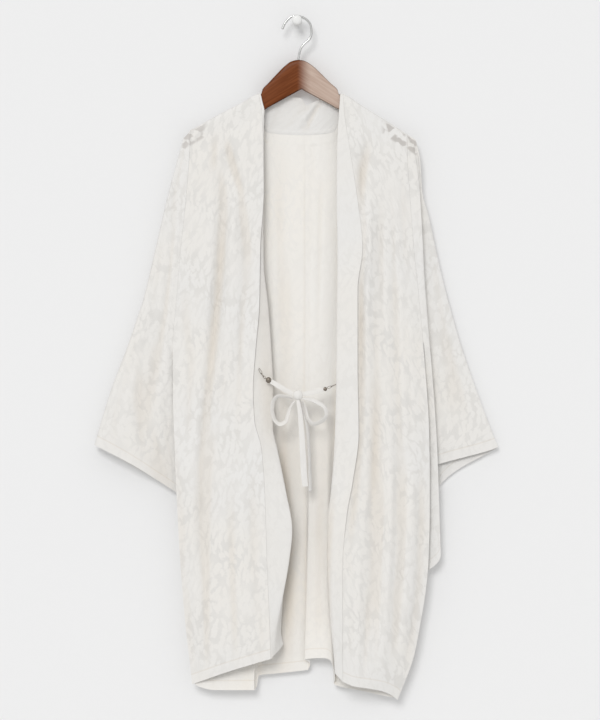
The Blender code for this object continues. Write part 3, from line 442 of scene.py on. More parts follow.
FRONT_LEFT_HEM = rows(Edge, (0, 1123), (0.12, 1116), (0.35, 1107), (0.55, 1103), (0.84, 1098), (1, 1091))
# Main folds first, then the creases between them
FRONT_RIGHT_FOLDS = rows(
    Fold,
    (-122, 190, -124, -150, 620, 22, -7), (-128, 560, -150, -158, 1000, 24, -6),
    (-104, 230, -104, -120, 640, 20, 4), (-118, 175, -95, -78, 420, 18, -4),
    (-180, 640, -170, -158, 1080, 20, 4), (-92, 720, -88, -84, 1060, 18, 3),
    (-122, 262, -138, -170, 800, 12, -4.2), (-106, 250, -120, -146, 720, 12, 3.2),
    (-120, 190, -104, -86, 300, 10, -2.4), (-133, 178, -136, -138, 262, 9, -1.8),
    (-146, 400, -152, -160, 640, 9, 1.6), (-186, 430, -178, -182, 760, 10, -1.8),
    (-148, 830, -150, -150, 1085, 9, -2), (-166, 900, -164, -158, 1092, 8, 1.4),
    (-112, 800, -106, -100, 1070, 9, -1.6), (-90, 430, -94, -98, 700, 8, -1.3),
    (-76, 900, -74, -66, 1060, 7, 1.3))
FRONT_LEFT_FOLDS = rows(
    Fold,
    (122, 175, 88, 74, 470, 18, -5), (122, 240, 118, 114, 700, 18, 5), (160, 320, 166, 178, 900, 20, -4),
    (136, 560, 132, 120, 1080, 22, -5), (190, 700, 186, 160, 1090, 16, 4),
    (150, 700, 150, 138, 1100, 14, 3), (124, 190, 100, 80, 430, 15, -4.6),
    (120, 280, 116, 112, 590, 9, 2.6), (141, 300, 142, 148, 620, 9, -1.6),
    (164, 230, 168, 178, 520, 9, 1.7), (176, 420, 184, 190, 760, 8, -1.7),
    (128, 640, 124, 114, 900, 9, -1.8), (156, 720, 154, 142, 1010, 9, 1.8),
    (178, 800, 172, 156, 1090, 9, -2), (104, 820, 102, 100, 1090, 8, 1.5),
    (196, 860, 186, 166, 1100, 7, 1.2), (118, 930, 114, 110, 1100, 7, -1.3))
# Where the fronts lie in warm shade
FRONT_RIGHT_SHADES = rows(
    Fold,
    (-120, 300, -132, -150, 640, 7, 0.22), (-116, 195, -101, -86, 300, 11, 0.10),
    (-134, 180, -138, -140, 262, 12, 0.10), (-150, 600, -160, -166, 860, 9, 0.12))
FRONT_LEFT_SHADES = rows(
    Fold,
    (106, 400, 107, 105, 720, 10, 0.32), (106, 640, 98, 84, 880, 10, 0.30),
    (122, 190, 94, 74, 430, 16, 0.20), (124, 560, 128, 122, 820, 14, 0.20))
FRONT_KNOTS = ["side", "chest", "seam"]
FRONT_SPANS = [22, 22]
FRONT_LEVELS = 170
PANEL_SETTLE = 60.0


def front_panels(cloth):
    right_knots = [knot(FRONT_RIGHT, name) for name in FRONT_KNOTS]
    left_knots = [knot(FRONT_LEFT, name) for name in FRONT_KNOTS]
    right = hung_panel(right_knots, FRONT_SPANS, ridge, FRONT_RIGHT_HEM, FRONT_LEVELS,
                       FRONT_RIGHT_FOLDS, +1, PANEL_SETTLE, 1.5)
    left = hung_panel(left_knots, FRONT_SPANS, ridge, FRONT_LEFT_HEM, FRONT_LEVELS,
                      FRONT_LEFT_FOLDS, +1, PANEL_SETTLE, 4.5)
    shell("front_right", right, cloth, shades=FRONT_RIGHT_SHADES)
    shell("front_left", other_way(left), cloth, start=(0.5, 0.3), shades=FRONT_LEFT_SHADES)


# Back, two panels with a seam down the centre

BackRightRow = namedtuple("BackRightRow", "drop blade_x blade_out step_x step_out rise_x rise_out "
                          "deep_x deep_out centre_x centre_out")
BACK_RIGHT = rows(
    BackRightRow,
    (118, -125, 14, -66.5, 14.5, -65.2, 14.5, -51, 13, 13, 12),
    (200, -126, 14, -66.5, 14, -64.5, 13.5, -51, 13, 13, 12),
    (537, -140, 16, -66, 14, -62, 14, -52, 14, 13, 13),
    (700, -150, 19, -68, 16, -64, 15, -53, 14, 13.2, 13),
    (900, -150, 22, -70, 20, -67, 17, -58, 14, 15, 13),
    (1060, -138, 26, -71, 27, -69.5, 21, -63, 15, 18, 13),
    (1110, -130, 27, -71, 28, -70, 21, -63, 15, 19.5, 13))
BackLeftRow = namedtuple("BackLeftRow", "drop centre_x centre_out turn_x turn_out tuck_x tuck_out "
                         "crest_x crest_out rise_x rise_out under_x under_out blade_x blade_out")
BACK_LEFT = rows(
    BackLeftRow,
    (118, 13.3, 12, 22, 12, 34, 12.5, 60, 13, 77.2, 14.5, 78.5, 14.5, 125, 14),
    (200, 13.3, 12, 20, 12, 32, 12.5, 57, 13, 75, 13.5, 78.5, 14, 125, 14),
    (571, 13.4, 13, 19, 13, 27, 14, 48, 15, 62, 14, 72, 14, 140, 20),
    (760, 14.5, 13, 17, 14.5, 21, 18, 50, 21, 60, 17, 66, 15, 145, 22),
    (900, 16.8, 13, 18, 16, 17, 20.5, 52, 26, 60, 21, 62, 15.5, 142, 24),
    (1060, 19.6, 13, 21.5, 17, 13, 22, 57, 29, 62, 23, 60, 16, 130, 25),
    (1123, 21.1, 13, 23, 17, 12, 22, 60, 29, 64, 23, 62, 16, 122, 25))
SIDE_BACK_OUT = 14.0     # the back's side edge at the armhole
ARMPIT_DROP = 537.0
SIDE_SEAM_DROP = 330.0   # where the back's side edge starts to move out to the side seam


def back_side(front_rows):
    """The back's side edge: its own place beside the armhole, then the front's edge at the side seam."""
    def at(drop):
        x, front_out = knot(front_rows, "side")(drop)
        seam_out = front_out - WALL - SEAM
        return x, SIDE_BACK_OUT + (seam_out - SIDE_BACK_OUT) * fade(drop, SIDE_SEAM_DROP, ARMPIT_DROP)
    return at


# The back's neck edge, across from one ridge to the other
BACK_NECK = rows(
    RidgePoint,
    (-66.5, 122.8), (-65.2, 122.8), (-61.5, 136), (-57, 165), (-51, 184), (-20, 188), (13, 189), (34, 188),
    (60, 184), (69, 168), (74, 140), (77.2, 123.4), (78.5, 123.4))


NECK_END = 0.1           # how far the neck edge's first and last points still lie on the hanger


def back_top(x):
    if BACK_NECK[0].x < x < BACK_NECK[-1].x:
        return follow(BACK_NECK, "drop", x)
    return ridge(x)


def off_the_neck(x):
    """1 where the back turns over the hanger, and 0 along its neck edge."""
    return 1.0 if x < BACK_NECK[0].x + NECK_END or x > BACK_NECK[-1].x - NECK_END else 0.0


BACK_RIGHT_HEM = rows(
    Edge,
    (0, 1093), (0.06, 1101), (0.2, 1107), (0.5, 1107), (0.66, 1102), (0.72, 1085), (0.85, 1081), (1, 1075))
BACK_LEFT_HEM = rows(
    Edge,
    (0, 1074), (0.1, 1060), (0.3, 1054), (0.4, 1066), (0.55, 1094), (0.7, 1106), (0.85, 1115), (1, 1120))
# Main folds first, then the creases between them
BACK_RIGHT_FOLDS = rows(
    Fold,
    (-40, 260, -38, -44, 1000, 16, 3), (-110, 330, -112, -110, 1000, 26, -4),
    (-165, 600, -160, -150, 1080, 20, -3), (-30, 220, -28, -30, 560, 8, -1),
    (-92, 260, -94, -96, 640, 10, 1.6), (-132, 420, -132, -128, 900, 10, -1.8),
    (-12, 560, -10, -6, 1060, 8, 1.2), (-98, 760, -98, -100, 1090, 10, 1.6),
    (-34, 700, -36, -38, 1070, 9, -1.6))
BACK_LEFT_FOLDS = rows(
    Fold,
    (100, 330, 104, 104, 1000, 22, -4), (160, 520, 164, 160, 1050, 20, -4), (40, 230, 38, 34, 560, 8, -1),
    (96, 300, 98, 92, 700, 10, 1.6), (132, 420, 134, 130, 900, 10, -1.8),
    (112, 760, 112, 106, 1100, 10, 1.6), (36, 760, 36, 36, 1050, 8, -1.4), (50, 700, 50, 50, 1050, 6, 1))
# The lower back lies in warm shade behind the fronts, and the centre seam is a faint line
BACK_RIGHT_SHADES = rows(
    Fold,
    (-38, 560, -6, -30, 1130, 50, 0.14), (-34, 640, -16, -22, 1120, 18, 0.36),
    (13, 120, 13.2, 19.5, 1160, 4, 0.14))
BACK_LEFT_SHADES = rows(
    Fold,
    (40, 600, 36, 34, 1080, 40, 0.16), (66, 540, 72, 74, 1090, 12, 0.5),
    (13, 120, 13.2, 19.5, 1160, 3, 0.14))
BACK_RIGHT_SPANS = [12, 12, 3, 12, 14]
BACK_LEFT_SPANS = [3, 6, 12, 9, 3, 12, 12]
BACK_LEVELS = 150
# How far along the collar behind the neck each of the back's knots lies, in columns of 21
NECK_RIGHT_SHARES = {2: 1, 3: 2, 4: 6, 5: 10}
NECK_LEFT_SHARES = {1: 11, 2: 13, 3: 17, 4: 20}
NECK_COLUMNS = 21
CENTRE_GAP = 0.1         # what the finer cloth leaves open along the centre seam


def beside_centre(drop):
    """The left panel's edge, close beside the right one's."""
    x, out = knot(BACK_RIGHT, "centre")(drop)
    return x + CENTRE_GAP, out


def shares_of(known, keys):
    """The places along the collar at the keys, between the known ones."""
    return [smooth_between(list(known), list(known.values()), key) for key in keys]


def back_panels(cloth, outside):
    """cloth is how the panels look from the front, inside the garment, and outside from behind."""
    right_knots = [back_side(FRONT_RIGHT)]
    right_knots += [knot(BACK_RIGHT, name) for name in ("blade", "step", "rise", "deep", "centre")]
    left_names = ("turn", "tuck", "crest", "rise", "under", "blade")
    left_knots = [beside_centre] + [knot(BACK_LEFT, name) for name in left_names] + [back_side(FRONT_LEFT)]
    right = hung_panel(right_knots, BACK_RIGHT_SPANS, back_top, BACK_RIGHT_HEM, BACK_LEVELS,
                       BACK_RIGHT_FOLDS, -1, PANEL_SETTLE, 7.5, off_the_neck)
    left = hung_panel(left_knots, BACK_LEFT_SPANS, back_top, BACK_LEFT_HEM, BACK_LEVELS,
                      BACK_LEFT_FOLDS, -1, PANEL_SETTLE, 10.5, off_the_neck)
    shell("back_right", right, cloth, start=(1.0, 0.6), shades=BACK_RIGHT_SHADES, outside=outside)
    shell("back_left", left, cloth, start=(1.5, 0.9), shades=BACK_LEFT_SHADES, outside=outside)
    neck_right = right[0][sum(BACK_RIGHT_SPANS[:2]):]
    neck_left = left[0][BACK_LEFT_SPANS[0]:sum(BACK_LEFT_SPANS[:4]) + 1]
    shares = shares_of(NECK_RIGHT_SHARES, columns_between(BACK_RIGHT_SPANS)[-len(neck_right):])
    left_keys = columns_between(BACK_LEFT_SPANS)[BACK_LEFT_SPANS[0]:][:len(neck_left)]
    shares += shares_of(NECK_LEFT_SHARES, left_keys)
    return list(zip(shares, neck_right + neck_left))


# Collar band: two front lengths, sewn along the fronts' inner edges, and the length behind the neck

# gap is the space between the band and the front along the seam, across.
# The right band hides behind the front's edge at the chest, turns out below it, and its lower corner
# curls away behind.
CollarRow = namedtuple("CollarRow", "drop gap seam_out roll_x roll_out edge_x edge_out")
COLLAR_RIGHT = rows(
    CollarRow,
    (118, 0.9, 30, -62, 30, -60.8, 30),
    (135, 0.9, 30, -58.6, 30, -57.2, 30),
    (150, 0.9, 31.2, -55.4, 30.8, -54, 29.2),
    (168, 0.9, 31.8, -54.8, 29, -56.5, 26),
    (200, 1.2, 35, -55.2, 30, -62, 26),
    (300, 1.4, 37, -56, 30, -72, 25),
    (400, 1.5, 40, -55.6, 33, -72, 25),
    (472, 1.4, 43, -48, 35, -60, 27),
    (558, 1.3, 46, -42, 36, -53, 27),
    (611, 1.3, 48, -39.8, 38, -50, 28),
    (670, 1.3, 50, -40, 40, -48, 30),
    (712, 1.2, 52, -32, 44, -40, 34),
    (777, 0.9, 53, -18.8, 48, -24, 37),
    (842, 0.9, 53.5, -8.4, 50, -12, 41),
    (891, 0.9, 54, -13.2, 50, -14, 38),
    (958, 0.9, 54, -25, 50, -24, 32),
    (1010, 0.9, 54, -35.5, 50, -27, 28),
    (1053, 1.2, 54, -39.5, 50, -16, 26))
COLLAR_RIGHT_HEM = rows(Edge, (0, 1053), (0.5, 1050), (1, 1031))
# The left band lies open from the seam to a soft roll at the opening, and turns away more at the hem.
# Its seamed edge stands proud of the front from the chest to the knee.
COLLAR_LEFT = rows(
    CollarRow,
    (118, 1, 30, 73.6, 30, 71.8, 30),
    (135, 1, 30, 73, 30, 70.6, 30),
    (150, 1, 31.5, 70.6, 31.5, 69.8, 29.6),
    (182, 0.9, 33.4, 67.9, 33, 71, 29),
    (215, 0.9, 36, 66.6, 33.5, 73, 28),
    (298, 0.9, 40.5, 66.1, 36, 76, 27),
    (376, 0.9, 43.5, 67.3, 38, 78, 29),
    (446, 0.6, 46.5, 66.6, 41, 78, 31),
    (571, 0.6, 49, 65.3, 43, 78, 32),
    (649, 0.6, 50.5, 63.8, 44, 76, 33),
    (708, 0.6, 51.5, 61.8, 44, 74, 33),
    (778, 0.6, 53, 56.3, 45, 66, 34),
    (826, 0.8, 54, 51.3, 46, 60, 35),
    (891, 1.2, 52, 50, 43, 60, 33),
    (980, 1.2, 52, 54, 40, 66, 31),
    (1050, 1.2, 52, 61, 41, 70, 32),
    (1091, 1.2, 52, 63.5, 43, 72, 34))
COLLAR_LEFT_HEM = rows(Edge, (0, 1091), (0.5, 1078), (1, 1072))
COLLAR_SPANS = [10, 7]
COLLAR_LEVELS = 190
COLLAR_SETTLE = 25.0
COLLAR_RIGHT_SHADES = rows(Fold, (-60, 380, -50, -44, 760, 22, 0.22))
COLLAR_LEFT_SHADES = rows(Fold, (64, 740, 50, 58, 1100, 10, 0.34))
COLLAR_BACK_SHADES = rows(Fold, (44, 120, 27, 4, 190, 12, 0.07))
GAP_SHOWN = 0.15         # the share of a seam's gap that the finer cloth leaves


def collar_front(front_rows, table, side, hem):
    """One front length. side is where its seamed edge lies beside the front's, -1 left and +1 right."""
    def seam(drop):
        x = follow(front_rows, "seam_x", drop) + side * follow(table, "gap", drop) * GAP_SHOWN
        return x, follow(table, "seam_out", drop)
    knots = [seam, knot(table, "roll"), knot(table, "edge")]
    return hung_panel(knots, COLLAR_SPANS, ridge, hem, COLLAR_LEVELS, [], +1, COLLAR_SETTLE, None)


def collar_bands(cloth):
    right = collar_front(FRONT_RIGHT, COLLAR_RIGHT, +1, COLLAR_RIGHT_HEM)
    left = collar_front(FRONT_LEFT, COLLAR_LEFT, -1, COLLAR_LEFT_HEM)
    shell("collar_right", right, cloth, BAND_CLOTH, (2.0, 0.2), COLLAR_RIGHT_SHADES)
    shell("collar_left", other_way(left), cloth, BAND_CLOTH, (2.2, 0.7), COLLAR_LEFT_SHADES)


# The length behind the neck stands up from the back's neck seam. Its free edge, across:
NeckRow = namedtuple("NeckRow", "along x out drop")
COLLAR_BACK_EDGE = rows(
    NeckRow,
    (0, -60.4, 21.7, 120.4), (0.035, -60.2, 15.2, 120.8), (0.1, -57, 14, 122.5), (0.2, -45, 13.4, 124),
    (0.3, -30, 13.4, 126), (0.42, -12, 12.6, 126), (0.52, 6, 11.2, 127), (0.6, 16, 11.6, 139),
    (0.68, 28, 12.6, 134), (0.78, 44, 13.4, 127), (0.9, 66, 14, 123), (0.965, 70.9, 15.2, 121.6),
    (1, 71.4, 21.7, 121.2))
COLLAR_BACK_CREASES = rows(
    Fold,
    (44, 122, 27, 4, 188, 9, -2.4), (32, 126, 16, -8, 186, 8, 1.8), (-26, 124, -34, -44, 182, 8, -0.8))
SEAM_SWELL = 0.7         # how far the seam's turning stands out
SEAM_SHARE = 0.12        # the share of the collar's height that it takes
NECK_UP = 40
NECK_GAP = 0.15          # space between the collar and the back at the neck seam
# The seam's two last points at each side, one on the ridge and one behind it: x, out, drop
SEAM_END_RIGHT = [(-63.4, 21.7, 121.2), (-63.6, 15.2, 122.3)]
SEAM_END_LEFT = [(75.4, 15.2, 123.0), (75.3, 21.7, 121.9)]


def collar_back(neck, cloth):
    """neck is the back's neck edge. The collar's seamed edge runs beside it, and ends on the ridge."""
    seam = []
    for i, (share, place) in enumerate(neck):
        along = neck[min(i + 1, len(neck) - 1)][1] - neck[max(i - 1, 0)][1]
        inward = Vector((-along.z, 0.0, along.x)).normalized()
        seam.append((share / NECK_COLUMNS, place + inward * NECK_GAP * MM))
    seam[0] = (seam[0][0], point(*SEAM_END_RIGHT[1]))
    seam[-1] = (seam[-1][0], point(*SEAM_END_LEFT[0]))
    seam = [(0.0, point(*SEAM_END_RIGHT[0]))] + seam + [(1.0, point(*SEAM_END_LEFT[1]))]
    grid = []
    for up in range(NECK_UP, -1, -1):
        height = up / NECK_UP
        row = []
        for along, low in seam:
            high = point(*(follow(COLLAR_BACK_EDGE, way, along) for way in ("x", "out", "drop")))
            middle = low.lerp(high, height)
            swell = SEAM_SWELL * math.sin(math.pi * min(height / SEAM_SHARE, 1.0))
            fold = fold_out(COLLAR_BACK_CREASES, middle.x / MM, -middle.z / MM)
            inside = fade(height, 0.0, 0.2) * (1 - fade(height, 0.8, 1.0))
            off_ends = fade(along, 0.12, 0.26) * (1 - fade(along, 0.76, 0.9))
            row.append(middle + Vector((0.0, -(swell + fold * inside) * off_ends * MM, 0.0)))
        grid.append(row)
    shell("collar_back", grid, cloth, BAND_CLOTH, (2.6, 1.1), COLLAR_BACK_SHADES)


# Sleeves: flat tubes that hang from the armholes. Each is one sheet, folded along its upper outline. A
# row runs from the back layer's inner edge out to the fold, and back along the front layer. Above the
# armpit the inner edges lie along the armhole, and below it they meet behind the body.
# edge and tuck are where the front layer turns under and out again, turn is half the space in the turn,
# and back is the middle of the back layer.
SleeveRow = namedtuple("SleeveRow", "along inner_x inner_drop inner_out edge_x edge_drop edge_out "
                       "tuck_x tuck_drop tuck_out top_x top_drop top_out back_x back_drop back_out turn")
SLEEVE_RIGHT = rows(
    SleeveRow,
    (0, -174, 181.4, 22, -178, 184, 23.6, -182, 189, 23.8, -187.3, 194.7, 22, -180, 187, 20.2, 0),
    (0.12, -176, 230, 30, -184, 232, 29, -191, 232, 26, -198, 232, 20, -187, 231, 13, 0),
    (0.25, -184, 300, 30, -195, 300, 29, -206, 299, 27, -215.8, 298, 18.5, -200, 299, 11, 0),
    (0.4, -194, 400, 29, -210, 397, 29, -224, 392, 27, -237, 390, 17.5, -215, 395, 9.5, 0),
    (0.55, -202, 490, 28, -221, 483, 28, -240, 474, 27, -256, 467, 17, -229, 479, 8.5, 0),
    (0.64, -206, 537, 27, -227, 527, 26.5, -250, 515, 26.5, -270, 508.5, 17, -238, 522, 8, 0),
    (0.67, -199, 556, 24, -228, 545, 26, -254, 532, 26.5, -275, 524, 17, -241, 540, 8, 0),
    (0.72, -192, 594, 21.5, -231, 575, 25.5, -262, 560, 26, -284.5, 550, 17, -246, 568, 7.5, 0),
    (0.85, -178, 694, 15.5, -229, 668, 21.5, -274, 642, 26, -307.6, 611, 17, -247, 655, 7.5, 0),
    (1, -150, 812, 12, -212, 773, 16, -272, 735, 26, -335.3, 702, 17, -243, 754, 7.5, 0))
SLEEVE_LEFT = rows(
    SleeveRow,
    (0, 182, 188.2, 22, 187, 191.5, 23.8, 191.5, 194, 23.8, 196, 197.5, 22, 189, 192.5, 20.2, 0.1),
    (0.08, 183, 225, 31, 196.5, 230, 28.5, 200.8, 231, 24.5, 203.8, 230, 19, 193, 228, 14, 0.8),
    (0.15, 186, 275, 31, 202.2, 280, 28.5, 203.6, 281, 23, 207, 279, 17, 196, 277, 11, 1.4),
    (0.22, 189, 325, 31, 205.5, 330, 29, 201.5, 328, 20, 218, 322, 14.5, 203, 323, 10, 1.7),
    (0.35, 197, 420, 32, 210.5, 425, 27.5, 205.5, 412, 17.5, 239, 418, 13, 215, 420, 9, 1.8),
    (0.5, 210, 537, 32.2, 219, 535, 27, 216, 505, 16.5, 268, 525, 12, 232, 530, 7.5, 1.8),
    (0.54, 212, 566, 26, 221.5, 566, 26.5, 218, 528, 16, 274.5, 546, 12, 234, 558, 7.2, 1.8),
    (0.6, 207, 620, 21, 225.5, 612, 25.5, 216.5, 565, 16, 285, 577, 12, 236, 600, 7, 1.8),
    (0.75, 192, 735, 20, 232, 715, 24.5, 209.5, 640, 16, 306, 636, 12, 238, 680, 6.5, 1.8),
    (0.9, 182, 855, 20, 235.5, 815, 24, 200, 715, 16, 323, 681, 12, 238, 740, 6.5, 1.8),
    (1, 174, 932, 20, 237.8, 882, 24, 195, 763, 16, 333.3, 706, 12, 238, 768, 6.5, 1.8))
ARMPIT_RIGHT = 0.64      # where along the sleeve its inner edges leave the armhole
ARMPIT_LEFT = 0.5
# Creases of the sleeves, front layer
SLEEVE_RIGHT_CREASES = rows(
    Fold,
    (-194, 225, -218, -262, 720, 12, -2.6), (-190, 250, -206, -232, 700, 10, 1.8),
    (-236, 420, -262, -292, 700, 12, 1.6), (-258, 520, -260, -256, 748, 11, -2.4),
    (-222, 560, -216, -208, 760, 9, -2), (-238, 610, -238, -238, 752, 8, 1.3))
SLEEVE_LEFT_CREASES = rows(
    Fold,
    (222, 330, 242, 270, 700, 10, -2), (232, 400, 262, 300, 690, 11, 1.8),
    (240, 470, 258, 262, 720, 9, -1.8), (228, 520, 238, 240, 735, 8, 1.3),
    (268, 540, 292, 316, 690, 9, -1.5))
SLEEVE_ROWS = 110
SLEEVE_EASE = 1.35       # rows lie closer together towards the shoulder
FINER = 3                # columns for each of the solid's
FRONT_SHARES = [0.0, 0.36, 0.6, 1.0]
TURN_SHARES = [0.0, 0.34, 0.36, 0.38, 0.58, 0.6, 0.62, 1.0]
BACK_SHARES = [0.0, 0.5, 1.0]
RISE_SHARES = [0.0, 0.04, 0.5, 1.0]
COLUMNS_PLAIN = [0.0, 0.12, 0.24, 0.36, 0.48, 0.6, 0.72, 0.84, 0.91, 0.96, 0.99, 1.0]
COLUMNS_PLEATED = [0.0, 0.12, 0.24, 0.34, 0.36, 0.38, 0.48, 0.58, 0.6, 0.62, 0.7, 0.8, 0.9, 0.955,
                   0.988, 1.0]
COLUMNS_BACK = [0.0, 0.04, 0.12, 0.28, 0.46, 0.64, 0.82, 0.92, 0.97, 0.99, 1.0]
ROUND_SHARE = 0.1        # the share of a row that turns over the fold
SLEEVE_GAP = 0.15        # space between the middles of the sleeve's edge and the body's, across
SHOULDER_TURN = 14.0     # height over which the sleeve's top rounds over at the shoulder
SHOULDER_HALF = 0.8      # half the space between the sleeve's layers at the shoulder's top
BEHIND_SHIFT = 14        # how far the back layer's creases lie outside the front's
BEHIND_SHARE = 0.6       # how deep they are, of the front's
BEHIND_SEED = 20
# Shares over which the creases grow from nothing, or die away
BEHIND_GROWS = (0.1, 0.25)       # of a row, on the back layer
FRONT_GROWS = 0.12               # of a row, on the front layer from where it lies free
FOLD_CALM = (0.84, 0.97)         # of a row, towards the fold
SHOULDER_CALM = (0.05, 0.2)      # of the sleeve, down from the shoulder
BACK_RISE = 0.88         # how far the back layer has moved to its own place just inside its edge


def finer(shares):
    made = []
    for low, high in zip(shares, shares[1:]):
        made += [low + (high - low) * k / FINER for k in range(FINER)]
    return made + [shares[-1]]


def sleeve(name, table, front_rows, side, armpit, columns, free_from, creases, seed, cloth, start):
    """side is -1 for the sleeve on the viewer's left and +1 on the right. The front layer is creased from
    the share free_from outwards, where it lies clear of its own turns."""
    shoulder = ridge(follow(front_rows, "side_x", 0.0))
    grid = []
    for step in range(SLEEVE_ROWS + 1):
        along = (step / SLEEVE_ROWS) ** SLEEVE_EASE

        def at(column):
            return follow(table, column, along)

        def layer(share, shares, xs, drops, out, lift):
            x = smooth_between(shares, xs, share)
            drop = smooth_between(shares, drops, share)
            off_fold = out + lift(x, drop, share) - at("top_out")
            return point(x, at("top_out") + off_fold * rounded((1 - share) / ROUND_SHARE), drop)

        def free(share, first, last):
            return fade(share, first, last) * (1 - fade(share, *FOLD_CALM)) * fade(along, *SHOULDER_CALM)

        def creased(x, drop, share):
            uneven = fold_out(creases, x, drop) + crumple(x, drop, seed)
            return uneven * free(share, free_from, free_from + FRONT_GROWS)

        def rumpled(x, drop, share):
            shifted = -BEHIND_SHARE * fold_out(creases, x + side * BEHIND_SHIFT, drop)
            return (shifted + crumple(x, drop, seed + BEHIND_SEED)) * free(share, *BEHIND_GROWS)

        inner_drop = at("inner_drop")
        if along <= armpit:
            inner_x = follow(front_rows, "side_x", inner_drop) + side * SLEEVE_GAP
            turn_over = rounded((inner_drop - shoulder) / SHOULDER_TURN)
            over = RIDGE_OUT + SHOULDER_HALF
            under = RIDGE_OUT - SHOULDER_HALF
            front_in = over + (follow(front_rows, "side_out", inner_drop) - over) * turn_over
            back_in = under + (back_side(front_rows)(inner_drop)[1] - under) * turn_over
        else:
            inner_x = at("inner_x")
            front_in = at("inner_out")
            back_in = front_in - WALL - SEAM
        turn = at("turn")
        edge = at("edge_out")
        tuck = at("tuck_out")
        front_xs = [inner_x, at("edge_x"), at("tuck_x"), at("top_x")]
        front_drops = [inner_drop, at("edge_drop"), at("tuck_drop"), at("top_drop")]
        front_outs = [front_in, edge + turn, edge, edge - turn, tuck + turn, tuck, tuck - turn, tuck - turn]
        back_xs = [inner_x, at("back_x"), at("top_x")]
        back_drops = [inner_drop, at("back_drop"), at("top_drop")]
        risen = back_in * (1 - BACK_RISE) + at("back_out") * BACK_RISE
        back_outs = [back_in, risen, at("back_out"), at("back_out")]
        row = []
        for share in finer(COLUMNS_BACK)[:-1]:
            out = smooth_between(RISE_SHARES, back_outs, share)
            row.append(layer(share, BACK_SHARES, back_xs, back_drops, out, rumpled))
        for share in reversed(finer(columns)):
            out = smooth_between(TURN_SHARES, front_outs, share)
            row.append(layer(share, FRONT_SHARES, front_xs, front_drops, out, creased))
        grid.append(row)
    if side > 0:
        grid = other_way(grid)
    shell(name, grid, cloth, start=start, hangs_flat=True)


def sleeves(cloth):
    sleeve("sleeve_right", SLEEVE_RIGHT, FRONT_RIGHT, -1, ARMPIT_RIGHT, COLUMNS_PLAIN, 0.1,
           SLEEVE_RIGHT_CREASES, 13.5, cloth, (3.0, 0.4))
    sleeve("sleeve_left", SLEEVE_LEFT, FRONT_LEFT, +1, ARMPIT_LEFT, COLUMNS_PLEATED, 0.62,
           SLEEVE_LEFT_CREASES, 16.5, cloth, (3.8, 0.1))


# Hanger

# Under the cloth the wood's upper edge follows the ridge: x and the wood's height there
ARMS = [
    (-170, 10), (-165, 16), (-155, 21), (-145, 24), (-131, 25), (-118, 26), (-90, 26), (-76, 25),
    (-65, 25), (-59.5, 25), (69.4, 24), (80, 25), (92, 26), (120, 26), (136, 25), (150, 23), (162, 20),
    (172, 16), (177, 10)]
# Where it shows: the drops of its edges
ArmPoint = namedtuple("ArmPoint", "x top low")
SHOWN = rows(
    ArmPoint,
    (-57.8, 115, 149.5), (-48, 104, 144), (-34, 89, 136.4), (-20, 75, 128.7), (-9, 67.4, 122.6),
    (2, 65, 116.5), (7.4, 65.4, 114), (14, 67.4, 117.4), (26, 75, 123.8), (40, 88, 131.3),
    (55, 103, 139.4), (67.6, 115.4, 146.2))
HANGER_CENTRE = 2.0
CENTRE_SWELL = 1.0       # how much thicker the wood is about its centre, on each side
CENTRE_REACH = (30, 60)  # from where to where this dies away
WOOD_SIDES = 32
WOOD_STEP = 2.0          # millimetres between the wood's sections
WOOD_ROUND = 3.2         # exponent of its rounded section


def hanger(wood):
    outline = [ArmPoint(x, ridge(x) + RIDGE_TO_WOOD, ridge(x) + RIDGE_TO_WOOD + tall) for x, tall in ARMS]
    outline = sorted(outline + SHOWN)
    places = [outline[0].x + 0.5 * k for k in range(3)]
    while places[-1] < outline[-1].x - WOOD_STEP:
        places.append(places[-1] + WOOD_STEP)
    places += [p.x for p in SHOWN if abs(p.x) < 10]
    places = sorted(places + [outline[-1].x])
    points = []
    for x in places:
        half = ARM_HALF + CENTRE_SWELL * (1 - fade(abs(x - HANGER_CENTRE), *CENTRE_REACH))
        upper = follow(outline, "top", x)
        lower = follow(outline, "low", x)
        for turn in turns(WOOD_SIDES, 0.5):
            away = math.copysign(abs(math.cos(turn)) ** (2 / WOOD_ROUND), math.cos(turn))
            up = math.copysign(abs(math.sin(turn)) ** (1 / WOOD_ROUND), math.sin(turn))
            points.append(point(x, RIDGE_OUT + half * away, (upper + lower) / 2 + (lower - upper) / 2 * up))
    faces = ring_faces(len(places), WOOD_SIDES, turned=True)
    new_piece("wood_hanger", points, faces, wood, "hanger_wood", smooth=50)


HookPoint = namedtuple("HookPoint", "x drop")
HOOK_ROUTE = rows(
    HookPoint,
    (-24.5, 14.5), (-21, 6.5), (-15.5, -1.5), (-8.5, -6.6), (0.5, -7.6), (10, -5), (18, 0.6), (22.8, 8.6),
    (24.2, 20), (21.5, 29.5), (14.5, 36.2), (8.5, 42.5), (5, 50), (3.4, 57), (2.4, 64.7))
HOOK_STEPS = 240
HOOK_DOME = 0.012        # the share of the hook over which its tip rounds off
HOOK_END = 0.15          # what is left of the radius at the very tip


def hook(steel):
    path = []
    for i in range(HOOK_STEPS):
        key = (len(HOOK_ROUTE) - 1) * i / (HOOK_STEPS - 1)
        path.append(point(through(HOOK_ROUTE, "x", key), RIDGE_OUT, through(HOOK_ROUTE, "drop", key)))

    def radius(share):
        return HOOK_WIRE / 2 * max(rounded(share / HOOK_DOME), HOOK_END)
    tube("steel_hook", path, radius, steel, "hanger_hook", 20)


